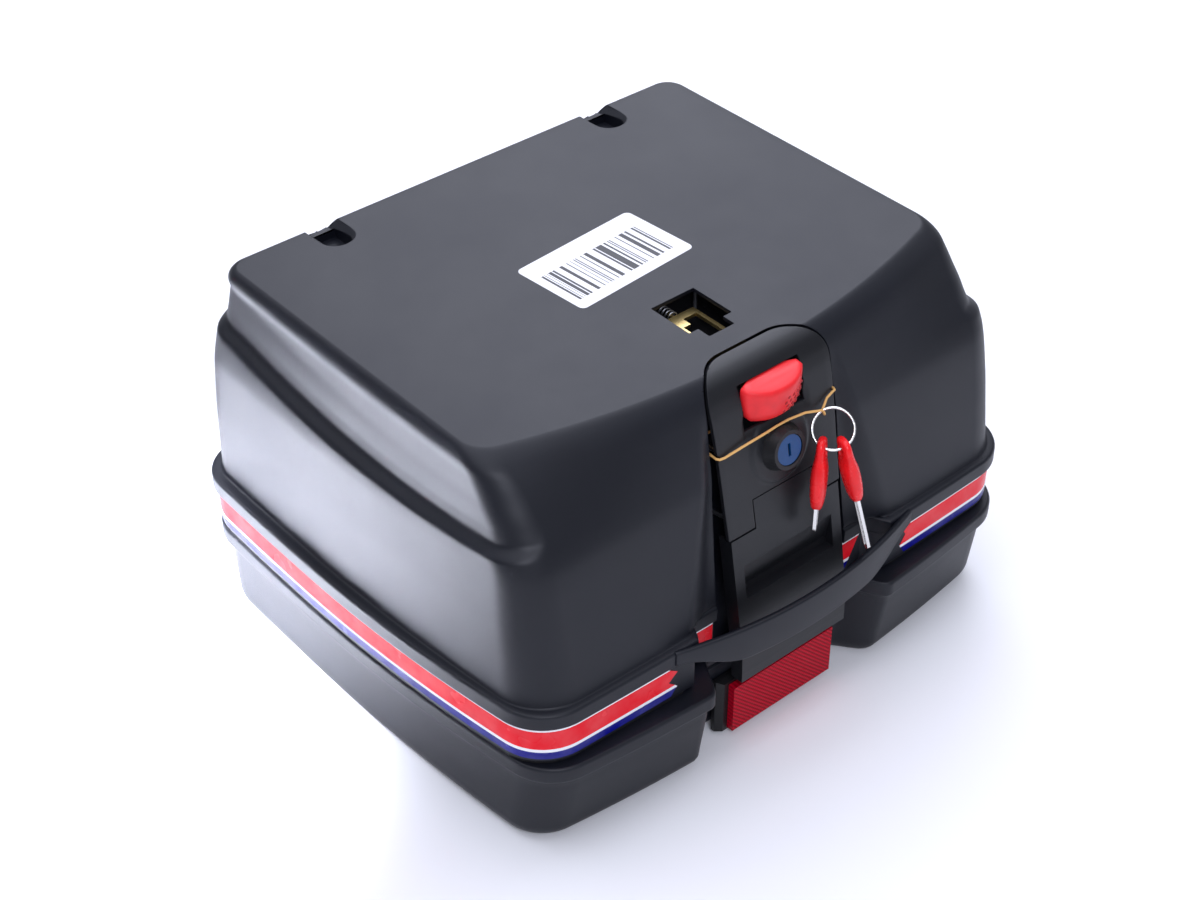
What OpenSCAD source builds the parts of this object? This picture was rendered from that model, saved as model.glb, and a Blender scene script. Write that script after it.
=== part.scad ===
// Motorcycle top case with a hinged lid, a lock and a quick-release mounting face.
// It rests on its lid, as it does when it is off the motorcycle: +Z runs from the lid's
// crown to the mounting face, -Y is the lock side, and Z = 0 is the floor.

/* [Case] */
// Width over the widest part of the rims
case_w = 451; // [400:1:545]
// Depth from the handle's front to the back of the hinges
case_d = 373; // [310:1:450]
// Height from the lid's crown to the mounting face
case_h = 266; // [235:1:320]
// Height of the parting line above the lid's crown
split_z = 75; // [70:1:90]
// Thickness of the moulded walls
wall = 3; // [2.4:0.1:4]
// Height of the base's flange above the parting line
flange_rise = 42; // [36:1:50]
// Thickness of the base's flange
flange_t = 12; // [8:1:14]
// How far the sides bulge between the corners
side_bulge = 20; // [5:1:30]
// Play between the two rims
rim_gap = 1; // [0.6:0.1:2]

/* [Handle and valley] */
// How far the handle reaches in front of the base's flange
handle_reach = 17.5; // [14:0.5:24]
// Height of the handle bar
handle_h = 26; // [18:1:30]
// Thickness of the handle bar
handle_t = 4.5; // [3:0.5:6]
// Width between the handle's ends
handle_span = 190; // [170:1:220]

/* [Lock panel] */
// Half the width of the lock panel across its arch
panel_hw = 49.5; // [46:0.5:56]
// Thickness of the lock panel's skin
panel_t = 3; // [2:0.1:4]
// Gap around the lock panel
panel_gap = 1.6; // [1:0.1:3]
// Depth of the pocket behind the lock panel
pocket_depth = 22; // [20:0.5:26]
// Height of the lock's axis below the mounting face
lock_drop = 57; // [52:0.5:60]
// Radius of the lock's bezel at its foot
bezel_r = 16; // [14:0.5:18]
// Radius of the lock's plug
plug_r = 8; // [6:0.1:8.6]
// Running play of the plug in its barrel
plug_play = 0.05; // [0.02:0.01:0.1]
// Length of the cam from the plug's axis
cam_len = 33; // [31:0.5:35]

/* [Release button and latch] */
// Width of the release button
button_w = 49; // [40:0.5:54]
// Travel of the release button
button_travel = 5; // [3:0.5:6]
// Width of the square latch opening
latch_w = 35; // [30:0.5:44]
// Length of the square latch opening
latch_len = 34.5; // [30:0.5:40]

/* [Tongue] */
// Half the width of the tongue that stands up from the lid
tongue_hw = 46; // [40:0.5:48]
// Half the width of the tongue's tip
tip_hw = 25; // [20:0.5:30]

/* [Mounting face] */
// Distance between the two hook slots
slot_pitch = 232; // [180:1:260]
// Width of a hook slot
slot_w = 18; // [12:0.5:24]

/* [Hinges] */
// Distance between the two hinges
hinge_pitch = 220; // [160:1:260]
// Radius of the hinge pins
hinge_pin_r = 2.5; // [2:0.1:3]

/* [Reflector and label] */
// Width of the reflector's lens
lens_w = 89; // [70:1:100]
// Height of the reflector's lens
lens_h = 38; // [30:1:40]
// Length of the stock label
label_w = 100; // [60:1:120]
// Width of the stock label
label_h = 60; // [40:1:70]

/* [Hidden] */
$fn = 48;

e = 0.01;                     // overshoot that keeps cuts clean
play = 0.3;                   // room between pieces that move past each other
big = 600;                    // longer than the case in any direction

// Levels
lid_top_z = split_z - 1.3;    // top of the lid's rim
lip_h = 10.7;                 // height of the lid's rim
skirt_z = split_z + 1;        // bottom of the base's skirt
flange_z = split_z + flange_rise;  // top of the base's flange
flange_low_z = flange_z - flange_t;
tongue_h = 7;                 // how far the lid's inner rib stands up inside the base
ledge_low_z = case_h - 60;    // lower edge of the ledge around the base's sides
ledge_high_z = case_h - 51;

// Plan positions
rim_yf = -case_d / 2 + handle_reach - 1;
hinge_r = 6;
hinge_y = case_d / 2 - hinge_r;
hinge_z = split_z - 0.5;
rim_yr = case_d / 2 - 4.5;
belly_y = rim_yf + 220;       // where the sides bulge most
lock_z = case_h - lock_drop;    // height of the lock's axis
valley_y = rim_yf + 14.5;     // wall of the valley at the rims
lid_valley_y = rim_yf + 20;   // wall of the lid's valley
lid_valley_hw = 60;           // half its width at that wall

/* ---- plan outlines ------------------------------------------------------------------ */

// Half the width at depth y, for an outline whose widest half width is hw
rear_share = 0.35;               // the sides curve in less behind the belly
function half_w(hw, bulge, y) =
  hw - bulge * (y > belly_y ? rear_share : 1) * pow((y - belly_y) / (belly_y - rim_yf), 2);

// Right half of a case outline, front centre to rear centre
function right_half(hw, bulge, yf, bow, yr, rf, rr) =
  let (
    xf = half_w(hw, bulge, yf + bow + rf) - rf,
    xr = half_w(hw, bulge, yr - rr) - rr,
    y0 = yf + bow + rf,
    y1 = yr - rr
  )
  concat(
    [for (i = [0:4]) [xf * i / 5, yf + bow * pow(i / 5, 2)]],
    [for (a = [-90:15:0]) [xf + rf * cos(a), y0 + rf * sin(a)]],
    [for (i = [1:7]) let (y = y0 + (y1 - y0) * i / 8) [half_w(hw, bulge, y), y]],
    [for (a = [0:15:90]) [xr + rr * cos(a), y1 + rr * sin(a)]]
  );

function mirrored(p) = [for (i = [len(p) - 1:-1:0]) if (p[i][0] > 0) [-p[i][0], p[i][1]]];

// Case outline, moved inwards by inset
module outline(hw, bulge, yf, bow, yr, rf, rr, inset = 0) {
  half = right_half(hw - inset, bulge, yf + inset, bow, yr - inset, rf - inset * 0.6, rr - inset * 0.6);
  polygon(concat(half, mirrored(half)));
}

module slab(z, h) {
  translate([0, 0, z])
    linear_extrude(h)
      children();
}

// Outlines of the base, from the flange up
module flange_plan(inset = 0) outline(case_w / 2, side_bulge, rim_yf, 4, rim_yr, 37, 36, inset);
module skirt_plan(inset = 0) flange_plan(inset + 3);
module foot_plan(inset = 0)
  outline(case_w / 2 - 9, side_bulge - 5, rim_yf + 6, 3, rim_yr - 5, 36, 32, inset);
module shoulder_plan(inset = 0)
  outline(case_w / 2 - 14, side_bulge - 5, rim_yf + 22, 2, rim_yr - 9, 27, 26, inset);
module waist_plan(inset = 0)
  outline(case_w / 2 - 22, side_bulge - 13, rim_yf + 23, 2, rim_yr - 11, 25, 24, inset);

top_hw = case_w / 2 - 34.5;
top_yf = rim_yf + 43;
top_bow = 25;
top_yr = rim_yr - 15;

// Outline of the mounting face: straight sides and a bowed front edge
module top_plan(inset = 0) {
  r = 14;
  xc = top_hw - inset - r;
  yf = top_yf + inset;
  yr = top_yr - inset;
  half = concat(
    [for (i = [0:5]) [xc * i / 5, yf + top_bow * pow(i / 5, 2)]],
    [for (a = [-60:20:0]) [xc + r * cos(a), yf + top_bow + r + r * sin(a)]],
    [for (a = [0:22.5:90]) [xc + r * cos(a), yr - r + r * sin(a)]]
  );
  polygon(concat(half, mirrored(half)));
}

// Outlines of the lid
module lip_plan(inset = 0)
  outline(case_w / 2 - 2.5, side_bulge, rim_yf - 11.5, 13, rim_yr + 0.5, 36, 36, inset);
module lid_plan(inset = 0) lip_plan(inset + 5);

/* ---- front profile ------------------------------------------------------------------ */

// The front surface at the middle of the case: [height, depth]
profile = [
  [split_z - 12, rim_yf + 0.5], [split_z + 1, rim_yf + 1], [split_z + 15, rim_yf + 3],
  [flange_z + 2, rim_yf + 8], [case_h - 103, rim_yf + 16], [case_h - 76, rim_yf + 21.5],
  [case_h - 52, rim_yf + 26], [case_h - 35, rim_yf + 30], [case_h - 18, rim_yf + 34.5],
  [case_h - 8, rim_yf + 37.5], [case_h - 2, rim_yf + 42], [case_h, rim_yf + 48]
];
arch_y = rim_yf + 59.5;       // where the panel's arch meets the mounting face

function front_y(z) = lookup(z, profile);

// Everything behind the front surface, once it is moved inwards by depth
module behind_front(depth, half_width, z_low = -20) {
  pts = concat(
    [[big, z_low], [front_y(z_low) + depth, z_low]],
    [for (p = profile) if (p[0] - depth > z_low) [p[1] + depth, p[0] - depth]],
    [[big, case_h - depth]]
  );
  rotate([90, 0, 90])
    linear_extrude(2 * half_width, center = true)
      polygon(pts);
}

// Arched outline looked at from 45 degrees above the front, cut right through the case
arch_t = (arch_y + case_h) / sqrt(2);
module arch_prism(hw_top, hw_low, grow) {
  r = 30 + grow;
  top = arch_t + grow;
  low = top - 260;
  right = concat(
    [[hw_low, low], [hw_low, top - 135]],
    [for (a = [0:10:90]) [hw_top - r + r * cos(a), top - r + r * sin(a)]]
  );
  rotate([45, 0, 0])
    linear_extrude(2 * big, center = true)
      polygon(concat(right, mirrored(right)));
}

pocket_hw = panel_hw + panel_gap;
pocket_low_hw = tongue_hw + 10;

// The recess in the base that holds the lock panel and the tongue
module pocket() {
  difference() {
    arch_prism(pocket_hw, pocket_low_hw, panel_gap);
    behind_front(pocket_depth, big);
    translate([-big, -big, -big]) cube([2 * big, 2 * big, big + skirt_z - 5]);
    translate([-big, 0, -big]) cube([2 * big, big, 2 * big]);
  }
}

// What the case's inside must leave standing behind that recess
module pocket_walls(extra = 0) {
  difference() {
    arch_prism(pocket_hw + wall + extra, pocket_low_hw + wall + extra, panel_gap + wall + extra);
    behind_front(pocket_depth + wall + extra, big);
    translate([-big, 0, -big]) cube([2 * big, big, 2 * big]);
  }
}

// Sloping sides of the valley between the two front lobes
module valley_sides() {
  hull() {
    slab(skirt_z - 5, e)
      polygon([[-84, -big], [84, -big], [76, valley_y], [-76, valley_y]]);
    slab(flange_z, e)
      polygon([[-84, -big], [84, -big], [76, valley_y], [-76, valley_y]]);
    slab(case_h - 14, e)
      polygon([[-51, -big], [51, -big], [50, rim_yf + 38], [-50, rim_yf + 38]]);
  }
}

/* ---- base --------------------------------------------------------------------------- */

module base_outer() {
  hull() {
    slab(case_h - e, e) top_plan(5);
    slab(case_h - 5, e) top_plan();
    slab(ledge_high_z, e) waist_plan();
  }
  hull() {
    slab(ledge_high_z, e) waist_plan();
    slab(ledge_low_z, e) shoulder_plan();
  }
  hull() {
    slab(ledge_low_z, e) shoulder_plan();
    slab(flange_z - 1, e) foot_plan();
  }
}

module base_inner() {
  hull() {
    slab(case_h - wall - e, e) top_plan(5 + wall);
    slab(ledge_high_z - 2, e) waist_plan(wall);
  }
  hull() {
    slab(ledge_high_z - 2, e) waist_plan(wall);
    slab(ledge_low_z - 2, e) shoulder_plan(wall);
    slab(flange_z - 8, e) foot_plan(wall);
    slab(flange_z - 9, e) foot_plan(wall);
  }
}

// Curved bar that joins the two ends of the front flange

function bar_y(x, out) = rim_yf - out * (1 - pow(x / (handle_span / 2 + 8), 2));
module handle() {
  n = 12;
  x1 = handle_span / 2 + 8;
  outer = [for (i = [-n:n]) [x1 * i / n, bar_y(x1 * i / n, handle_reach - 1)]];
  inner = [for (i = [n:-1:-n]) [x1 * i / n, bar_y(x1 * i / n, handle_reach - 1) + handle_t]];
  difference() {
    slab(flange_z - handle_h, handle_h)
      polygon(concat(outer, inner));
    // the bar's ends rise to the flange's height
    for (s = [-1, 1])
      translate([s * (x1 + 4), 0, flange_z - handle_h - 2])
        rotate([90, 0, 0])
          linear_extrude(2 * big, center = true)
            polygon([[-s * 32, 0], [s * 20, 0], [s * 20, handle_h - flange_t + 2], [-s * 8, handle_h - flange_t + 2]]);
  }
}

hinge_x = hinge_pitch / 2;
knuckle_l = 30;               // length of the base's hinge knuckle
ear_l = 14;                   // length of each of the lid's hinge knuckles
hinge_play = 0.5;             // end play between knuckles

module hinge_tube(x0, x1, r, clear = 0) {
  translate([x0, hinge_y, hinge_z])
    rotate([0, 90, 0])
      cylinder(r = r + clear, h = x1 - x0);
}

// Box with corners a and b
module block(a, b) {
  translate(a) cube(b - a);
}

slot_len = 26;                // length of a hook slot, front to rear
slot_y0 = top_yr - 31;
slot_depth = 12;
latch_y1 = rim_yf + 123;      // rear edge of the latch opening
latch_y0 = latch_y1 - latch_len;

module latch_opening(grow = 0) {
  block([-latch_w / 2 - grow, latch_y0 - grow, case_h - 10], [latch_w / 2 + grow, latch_y1 + grow, case_h + 2]);
  block([-10.2, latch_y0 - 10, case_h - 10], [10.2, latch_y0 + e, case_h + 2]);
}

// Sloping recess that leads to a hook slot, and the slot itself
module hook_slot(x, grow = 0) {
  translate([x, 0, 0]) {
    if (grow == 0)
      translate([0, top_yr + 4, case_h + 2])
        rotate([90, 0, 90])
          linear_extrude(34, center = true)
            polygon([[-30, 0], [8, 0], [8, -13], [-4, -9]]);
    block([-slot_w / 2 - grow, slot_y0 - grow, case_h - slot_depth - grow],
          [slot_w / 2 + grow, slot_y0 + slot_len + (grow > 0 ? 12 : 0), case_h + 2]);
  }
}

cover_x = 34;                 // half the width of the mechanism cover
cover_y0 = rim_yf + 60;
cover_y1 = latch_y1 + 16;
cover_z = case_h - 26;        // underside of the mechanism cover
boss_x = 28;
boss_ys = [cover_y1 - 7, latch_y0 - 2];
boss_r = 4;

module base_body() {
  difference() {
    union() {
      base_outer();
      difference() {
        union() {
          slab(flange_low_z, flange_t) flange_plan();
          slab(skirt_z, flange_low_z - skirt_z + e) skirt_plan();
        }
        valley_sides();
      }
      for (s = [-1, 1]) {
        hinge_tube(s * hinge_x - knuckle_l / 2, s * hinge_x + knuckle_l / 2, hinge_r);
        block([s * hinge_x - knuckle_l / 2, rim_yr - 9, hinge_z], [s * hinge_x + knuckle_l / 2, hinge_y + 3, hinge_z + 30]);
      }
    }
    // inside, without the recesses' walls
    difference() {
      union() {
        base_inner();
        slab(skirt_z - 1, flange_z - 7 - skirt_z) skirt_plan(wall);
      }
      pocket_walls();
      slab(skirt_z - 2, case_h - skirt_z)
        polygon([[-88, -big], [88, -big], [80, valley_y + wall], [-80, valley_y + wall]]);
      for (s = [-1, 1])
        hook_slot(s * slot_pitch / 2, wall);
      for (s = [-1, 1], y = boss_ys)
        translate([s * boss_x, y, cover_z + 2])
          cylinder(r = boss_r, h = 30);
      for (s = [-1, 1], z = panel_screw_z)
        panel_screw_at(s, z)
          translate([0, 0, -panel_seat]) cylinder(r = 6, h = 10);
    }
    pocket();
    valley_sides();
    // channel for the latch slider, from the recess to the latch opening
    block([-19, rim_yf + 50, case_h - 18], [19, latch_y0 - 5, case_h - 6]);
    latch_opening();
    for (s = [-1, 1])
      hook_slot(s * slot_pitch / 2);
    for (s = [-1, 1], y = boss_ys)
      translate([s * boss_x, y, cover_z])
        cylinder(r = 1.4, h = 18);
    // hinge bores and room for the lid's knuckles
    for (s = [-1, 1]) {
      hinge_tube(s * hinge_x - 40, s * hinge_x + 40, hinge_pin_r, 0.05);
      hinge_tube(s * hinge_x + knuckle_l / 2, s * hinge_x + knuckle_l / 2 + ear_l + 2 * hinge_play, hinge_r, 0.8);
      hinge_tube(s * hinge_x - knuckle_l / 2 - ear_l - 2 * hinge_play, s * hinge_x - knuckle_l / 2, hinge_r, 0.8);
    }
    // screw holes for the lock panel
    for (s = [-1, 1], z = panel_screw_z)
      panel_screw_at(s, z)
        translate([0, 0, -panel_seat - 2]) cylinder(r = 1.8, h = 20);
    // shallow seat for the label
    label_place()
      linear_extrude(2)
        square([label_w, label_h], center = true);
  }
}

module base_shell() {
  color([0.19, 0.20, 0.24]) {
    base_body();
    handle();
  }
}

// Cover over the latch slider, inside the base
module mechanism_cover() {
  color([0.14, 0.14, 0.16])
  difference() {
    block([-cover_x, cover_y0, cover_z], [cover_x, cover_y1, case_h - wall]);
    block([-cover_x + 2, cover_y0 - 1, cover_z + 2], [cover_x - 2, cover_y1 - 2, case_h]);
    pocket_walls(0.2);
    for (s = [-1, 1], y = boss_ys)
      translate([s * boss_x, y, cover_z - 1])
        cylinder(r = 1.8, h = 5);
  }
}

module cover_screws() {
  color("silver")
  for (s = [-1, 1], y = boss_ys)
    translate([s * boss_x, y, cover_z]) {
      translate([0, 0, -2]) cylinder(r = 3.2, h = 2);
      cylinder(r = 1.4, h = 14);
    }
}

/* ---- lock panel --------------------------------------------------------------------- */

panel_tilt = 10.6;            // lean of the front surface at the lock
step_z = case_h - 103;        // lower edge of the panel's shoulders
tip_z = case_h - 83;          // lower edge of the panel over the tongue's tip
fit_gap = 0.6;                // gap between the panel and the tongue

// Puts its children at a height on the front surface, local Z pointing out of the panel
module on_front(x, z) {
  translate([x, front_y(z), z])
    rotate([90 - panel_tilt, 0, 0])
      children();
}
module at_lock() on_front(0, lock_z) children();

panel_seat = pocket_depth + 10;  // seat of the panel's screws, behind the recess
panel_screw_z = [case_h - 46, case_h - 92];
module panel_screw_at(s, z) on_front(s * (panel_hw - 9), z) children();

module front_layer(d0, d1, half_width) {
  difference() {
    behind_front(d0, half_width);
    behind_front(d1, half_width + 1);
  }
}

button_z0 = case_h - 38;
button_z1 = case_h - 7;
barrel_r = 9.6;
collar_h = 1.6;               // height of the raised ring around the lock
skin = panel_t * (cos(panel_tilt) + sin(panel_tilt)) + 0.1;  // the panel's thickness square to the lock

module lock_panel() {
  color([0.20, 0.21, 0.25])
  difference() {
    union() {
      intersection() {
        arch_prism(panel_hw, tongue_hw + 0.5, 0);
        front_layer(0, panel_t, panel_hw + 5);
        block([-big, -big, step_z], [big, 0, big]);
      }
      // stiffening rim
      intersection() {
        difference() {
          arch_prism(panel_hw, tongue_hw + 0.5, 0);
          arch_prism(panel_hw - 2.4, tongue_hw - 1.9, -2.4);
        }
        front_layer(panel_t - 1, pocket_depth - 8, panel_hw + 5);
        block([-big, -big, step_z], [big, 0, big]);
      }
      // raised ring around the lock
      at_lock()
        translate([0, 0, -panel_t])
          cylinder(r = bezel_r + 8, h = panel_t + collar_h);
      // screw posts
      for (s = [-1, 1], z = panel_screw_z)
        panel_screw_at(s, z)
          translate([0, 0, -pocket_depth + 3.5])
            cylinder(r = 4, h = pocket_depth - 3.5 - panel_t + 0.5);
    }
    // room for the tongue's tip
    block([-tip_hw - fit_gap, -big, step_z - 5], [tip_hw + fit_gap, 0, tip_z]);
    at_lock() {
      translate([0, 0, -panel_t - 5]) cylinder(r = barrel_r, h = 20);
      translate([0, 0, -skin - 6]) cylinder(r = barrel_r + 4.4, h = 6);
    }
    // passage for the latch slider
    block([-18, rim_yf + 40, slider_z - 7], [18, 0, slider_z + 3.5]);
    // window for the release button
    block([-button_w / 2 - 0.5, -big, button_z0 - 0.5], [button_w / 2 + 0.5, rim_yf + 50, button_z1 + 0.5]);
    // notches for the rubber band
    for (s = [-1, 1])
      translate([s * (panel_hw + 0.2), 0, s < 0 ? band_left_z : band_right_z])
        rotate([90, 0, 0]) cylinder(r = 2.4, h = big, $fn = 24);
    for (s = [-1, 1], z = panel_screw_z)
      panel_screw_at(s, z)
        translate([0, 0, -pocket_depth]) cylinder(r = 1.4, h = pocket_depth - panel_t - 1);
  }
}

module panel_screws() {
  color("silver")
  for (s = [-1, 1], z = panel_screw_z)
    panel_screw_at(s, z)
      translate([0, 0, -panel_seat]) {
        translate([0, 0, -2]) cylinder(r = 3.2, h = 2);
        cylinder(r = 1.4, h = 21);
      }
}

module lock_barrel() {
  color([0.09, 0.09, 0.10])
  at_lock()
    difference() {
      union() {
        translate([0, 0, collar_h]) cylinder(r1 = bezel_r, r2 = bezel_r - 3, h = 8, $fn = 48);
        translate([0, 0, -9]) cylinder(r = barrel_r, h = 11);
      }
      translate([0, 0, -20]) cylinder(r = plug_r + plug_play, h = 40);
      translate([0, 0, 6.4]) cylinder(r = plug_r + 2.4, h = 10);
    }
}

module lock_nut() {
  color("silver")
  at_lock()
    translate([0, 0, -skin - 4])
      difference() {
        cylinder(r = barrel_r + 3.4, h = 4, $fn = 6);
        translate([0, 0, -1]) cylinder(r = barrel_r, h = 6, $fn = 48);
      }
}

module lock_plug() {
  color([0.75, 0.75, 0.78])
  at_lock()
    difference() {
      union() {
        translate([0, 0, -9.6]) cylinder(r = plug_r, h = 16.6);
        translate([0, 0, -12.6]) cylinder(r = 3.5, h = 3.2);
      }
      // keyway
      block([-1.1, -4.5, -4], [1.1, 4.5, 10]);
      translate([0, 0, -20]) cylinder(r = 1.3, h = 14);
    }
}

module plug_cap() {
  color([0.05, 0.35, 0.62])
  at_lock()
    difference() {
      translate([0, 0, 7]) cylinder(r = plug_r + 2, h = 2);
      block([-1.1, -4.5, 5], [1.1, 4.5, 12]);
    }
}

module lock_cam() {
  color([0.80, 0.66, 0.30])
  at_lock()
    translate([0, 0, -12.4])
      difference() {
        union() {
          cylinder(r = 8, h = 2.4);
          translate([-cam_len, -4, 0]) cube([cam_len, 8, 2.4]);
          // nose that turns in under the tongue's shelf
          translate([-cam_len, -3, 1]) cube([3.6, 6, 7.4]);
        }
        translate([0, 0, -1]) cylinder(r = 3.5, h = 5);
      }
}

module cam_screw() {
  color("silver")
  at_lock()
    translate([0, 0, -14.6]) {
      cylinder(r = 5, h = 2);
      cylinder(r = 1.3, h = 7);
    }
}

/* ---- release button and latch ------------------------------------------------------- */

button_back = rim_yf + 46;    // rear face of the button

module release_button() {
  yf = front_y(button_z1) - 8;
  color([0.80, 0.07, 0.08])
  difference() {
    intersection() {
      rotate([90, 0, 90])
        linear_extrude(button_w, center = true)
          polygon([
            [yf, button_z1], [yf - 1.5, button_z1 - 2], [yf - 3.8, button_z0 + 3], [yf - 3, button_z0],
            [button_back, button_z0], [button_back, button_z1]
          ]);
      // the front is bowed in plan
      slab(button_z0 - 1, 60)
        polygon(concat(
          [for (i = [-6:6]) [button_w / 2 * i / 6, yf - 4 + 9 * pow(abs(i / 6), 2.4)]],
          [[button_w / 2, 0], [-button_w / 2, 0]]
        ));
    }
    // hollow back
    block([-button_w / 2 + 2.5, yf + 8, button_z0 + 2.5], [-13, button_back + 1, button_z1 - 2.5]);
    block([13, yf + 8, button_z0 + 2.5], [button_w / 2 - 2.5, button_back + 1, button_z1 - 2.5]);
  }
}

slider_z = case_h - 15;
module latch_slider() {
  color([0.80, 0.66, 0.30])
  difference() {
    union() {
      block([-16, button_back + 0.4, slider_z], [16, latch_y1 - 2, slider_z + 2.5]);
      // folded tab that the button pushes
      block([-12, button_back + 0.4, slider_z - 6], [12, button_back + 2.9, slider_z]);
      // spring post
      translate([0, latch_y1 - 2 - e, slider_z + 1.2])
        rotate([-90, 0, 0]) cylinder(r = 1.2, h = 5, $fn = 24);
    }
    // opening that the carrier's catch rises through
    block([-4, latch_y0 - 7, slider_z - 1], [13, latch_y1 - 15, slider_z + 4]);
    block([2, latch_y0 + 8, slider_z - 1], [13, latch_y1 - 8, slider_z + 4]);
  }
}

// Tube of radius r along an open route p, with n sides
module wire(p, r, n, up = [0, 0, 1]) {
  m = len(p);
  rings = [for (i = [0:m - 1])
    let (
      d = p[min(i + 1, m - 1)] - p[max(i - 1, 0)],
      t = d / norm(d),
      u = up - t * (up * t),
      un = u / norm(u),
      v = cross(t, un)
    )
    for (k = [0:n - 1]) p[i] + r * (cos(k * 360 / n) * un + sin(k * 360 / n) * v)];
  sides = [for (i = [0:m - 2], k = [0:n - 1])
    [i * n + k, i * n + (k + 1) % n, (i + 1) * n + (k + 1) % n, (i + 1) * n + k]];
  polyhedron(
    points = rings,
    faces = concat(sides, [[for (k = [n - 1:-1:0]) k], [for (k = [0:n - 1]) (m - 1) * n + k]]),
    convexity = 8
  );
}

spring_coils = 5;
spring_y0 = latch_y1 - 1.2;
spring_y1 = cover_y1 - 2.8;
module latch_spring() {
  color("silver")
    wire([for (i = [0:12 * spring_coils])
      [3.2 * cos(i * 30), spring_y0 + (spring_y1 - spring_y0) * i / (12 * spring_coils), slider_z + 1.2 + 3.2 * sin(i * 30)]],
      0.5, 8, [0, 1, 0]);
}

/* ---- lid ---------------------------------------------------------------------------- */

crown_r = 14;                 // rounding of the lid's crown edge
lid_taper = 5;                // draft of the lid's wall, from its lip to its crown
boss_depth = 7;

module lid_valley(half_width, y) {
  slab(-5, lid_top_z + tongue_h + 10)
    polygon([[-half_width - 100, y - 100], [half_width + 100, y - 100], [half_width, y], [-half_width, y]]);
}

foot_x = 30;                  // screws of the tongue, either side of the middle
foot_z = split_z - 12;

module lid_shell() {
  color([0.19, 0.20, 0.24])
  difference() {
    union() {
      difference() {
        union() {
          hull() {
            slab(0, e) lid_plan(crown_r + lid_taper);
            slab(crown_r * 0.3, e) lid_plan(crown_r * 0.35 + lid_taper);
            slab(crown_r, e) lid_plan(lid_taper);
            slab(lid_top_z - 2, e) lid_plan();
          }
          slab(lid_top_z - lip_h, lip_h) lip_plan();
          // rib that stands up inside the base
          slab(lid_top_z - 2, tongue_h + 2) skirt_plan(wall + rim_gap);
        }
        // inside
        difference() {
          union() {
            hull() {
              slab(wall, e) lid_plan(crown_r + lid_taper);
              slab(crown_r, e) lid_plan(wall + lid_taper);
              slab(lid_top_z - lip_h, e) lid_plan(wall);
            }
            slab(lid_top_z - lip_h - e, lip_h + tongue_h + 5) skirt_plan(2 * wall + rim_gap);
          }
          lid_valley(lid_valley_hw + 1.4 * wall, lid_valley_y + wall);
        }
        lid_valley(lid_valley_hw, lid_valley_y);
        // screw holes for the reflector and the tongue
        for (s = [-1, 1]) {
          translate([s * lens_w * 0.3, lid_valley_y - 1, reflector_z])
            rotate([-90, 0, 0]) cylinder(r = 1.8, h = 8);
          translate([s * foot_x, lid_valley_y - 1, foot_z])
            rotate([-90, 0, 0]) cylinder(r = 1.8, h = 8);
        }
      }
      // hinge knuckles
      for (s = [-1, 1], t = [-1, 1]) {
        x0 = s * hinge_x + t * (knuckle_l / 2 + hinge_play + ear_l / 2) - ear_l / 2;
        hinge_tube(x0, x0 + ear_l, hinge_r);
        block([x0, rim_yr - 6, hinge_z - 11.5], [x0 + ear_l, hinge_y + 3, hinge_z - 2]);
      }
    }
    // room for the walls of the base's valley and recess
    slab(lid_top_z, tongue_h + 10)
      polygon([[-88 - rim_gap, -big], [88 + rim_gap, -big], [80 + rim_gap, valley_y + wall], [-80 - rim_gap, valley_y + wall]]);
    block([-pocket_low_hw - wall - 1, -big, lid_top_z], [pocket_low_hw + wall + 1, valley_y + 40, big]);
    for (s = [-1, 1]) {
      hinge_tube(s * hinge_x - 40, s * hinge_x + 40, hinge_pin_r);
      hinge_tube(s * hinge_x - knuckle_l / 2 - hinge_play, s * hinge_x + knuckle_l / 2 + hinge_play, hinge_r, 0.8);
      block([s * hinge_x - knuckle_l / 2 - hinge_play, rim_yr - 10.5, hinge_z - 5],
            [s * hinge_x + knuckle_l / 2 + hinge_play, hinge_y + 8, hinge_z + 10]);
    }
  }
}

// Rubber strip that lies on the lid's rim, under the base's skirt
module rim_seal() {
  color([0.06, 0.06, 0.06])
  difference() {
    slab(lid_top_z, skirt_z - play - lid_top_z) skirt_plan(1.2);
    slab(lid_top_z - 1, 10) skirt_plan(wall + rim_gap);
    lid_valley(80, valley_y + wall);
    for (s = [-1, 1])
      block([s * hinge_x - knuckle_l / 2 - ear_l - 3, rim_yr - 11, 0],
            [s * hinge_x + knuckle_l / 2 + ear_l + 3, big, big]);
  }
}

module hinge_pin(s) {
  color("silver")
  hinge_tube(s * hinge_x - knuckle_l / 2 - ear_l - hinge_play, s * hinge_x + knuckle_l / 2 + ear_l + hinge_play, hinge_pin_r);
}
module hinge_pin_left() hinge_pin(-1);
module hinge_pin_right() hinge_pin(1);

/* ---- reflector ---------------------------------------------------------------------- */

reflector_z = 25;             // height of the reflector's middle
lens_t = 5;
module reflector_housing() {
  y0 = lid_valley_y - boss_depth;
  color([0.07, 0.07, 0.08])
  difference() {
    hull() {
      block([-lens_w / 2 - 8, y0 + 4, reflector_z - lens_h / 2 - 2], [lens_w / 2 + 8, lid_valley_y, reflector_z + lens_h / 2 + 4]);
      block([-lens_w / 2 - 4, y0, reflector_z - lens_h / 2 - 1.5], [lens_w / 2 + 4, lid_valley_y, reflector_z + lens_h / 2 + 2.5]);
    }
    block([-lens_w / 2 - 0.2, y0 - 1, reflector_z - lens_h / 2 - 0.2], [lens_w / 2 + 0.2, y0 + 3, reflector_z + lens_h / 2 + 0.2]);
    for (s = [-1, 1])
      translate([s * lens_w * 0.3, y0 - 1, reflector_z])
        rotate([-90, 0, 0]) cylinder(r = 1.4, h = 20);
  }
}

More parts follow.
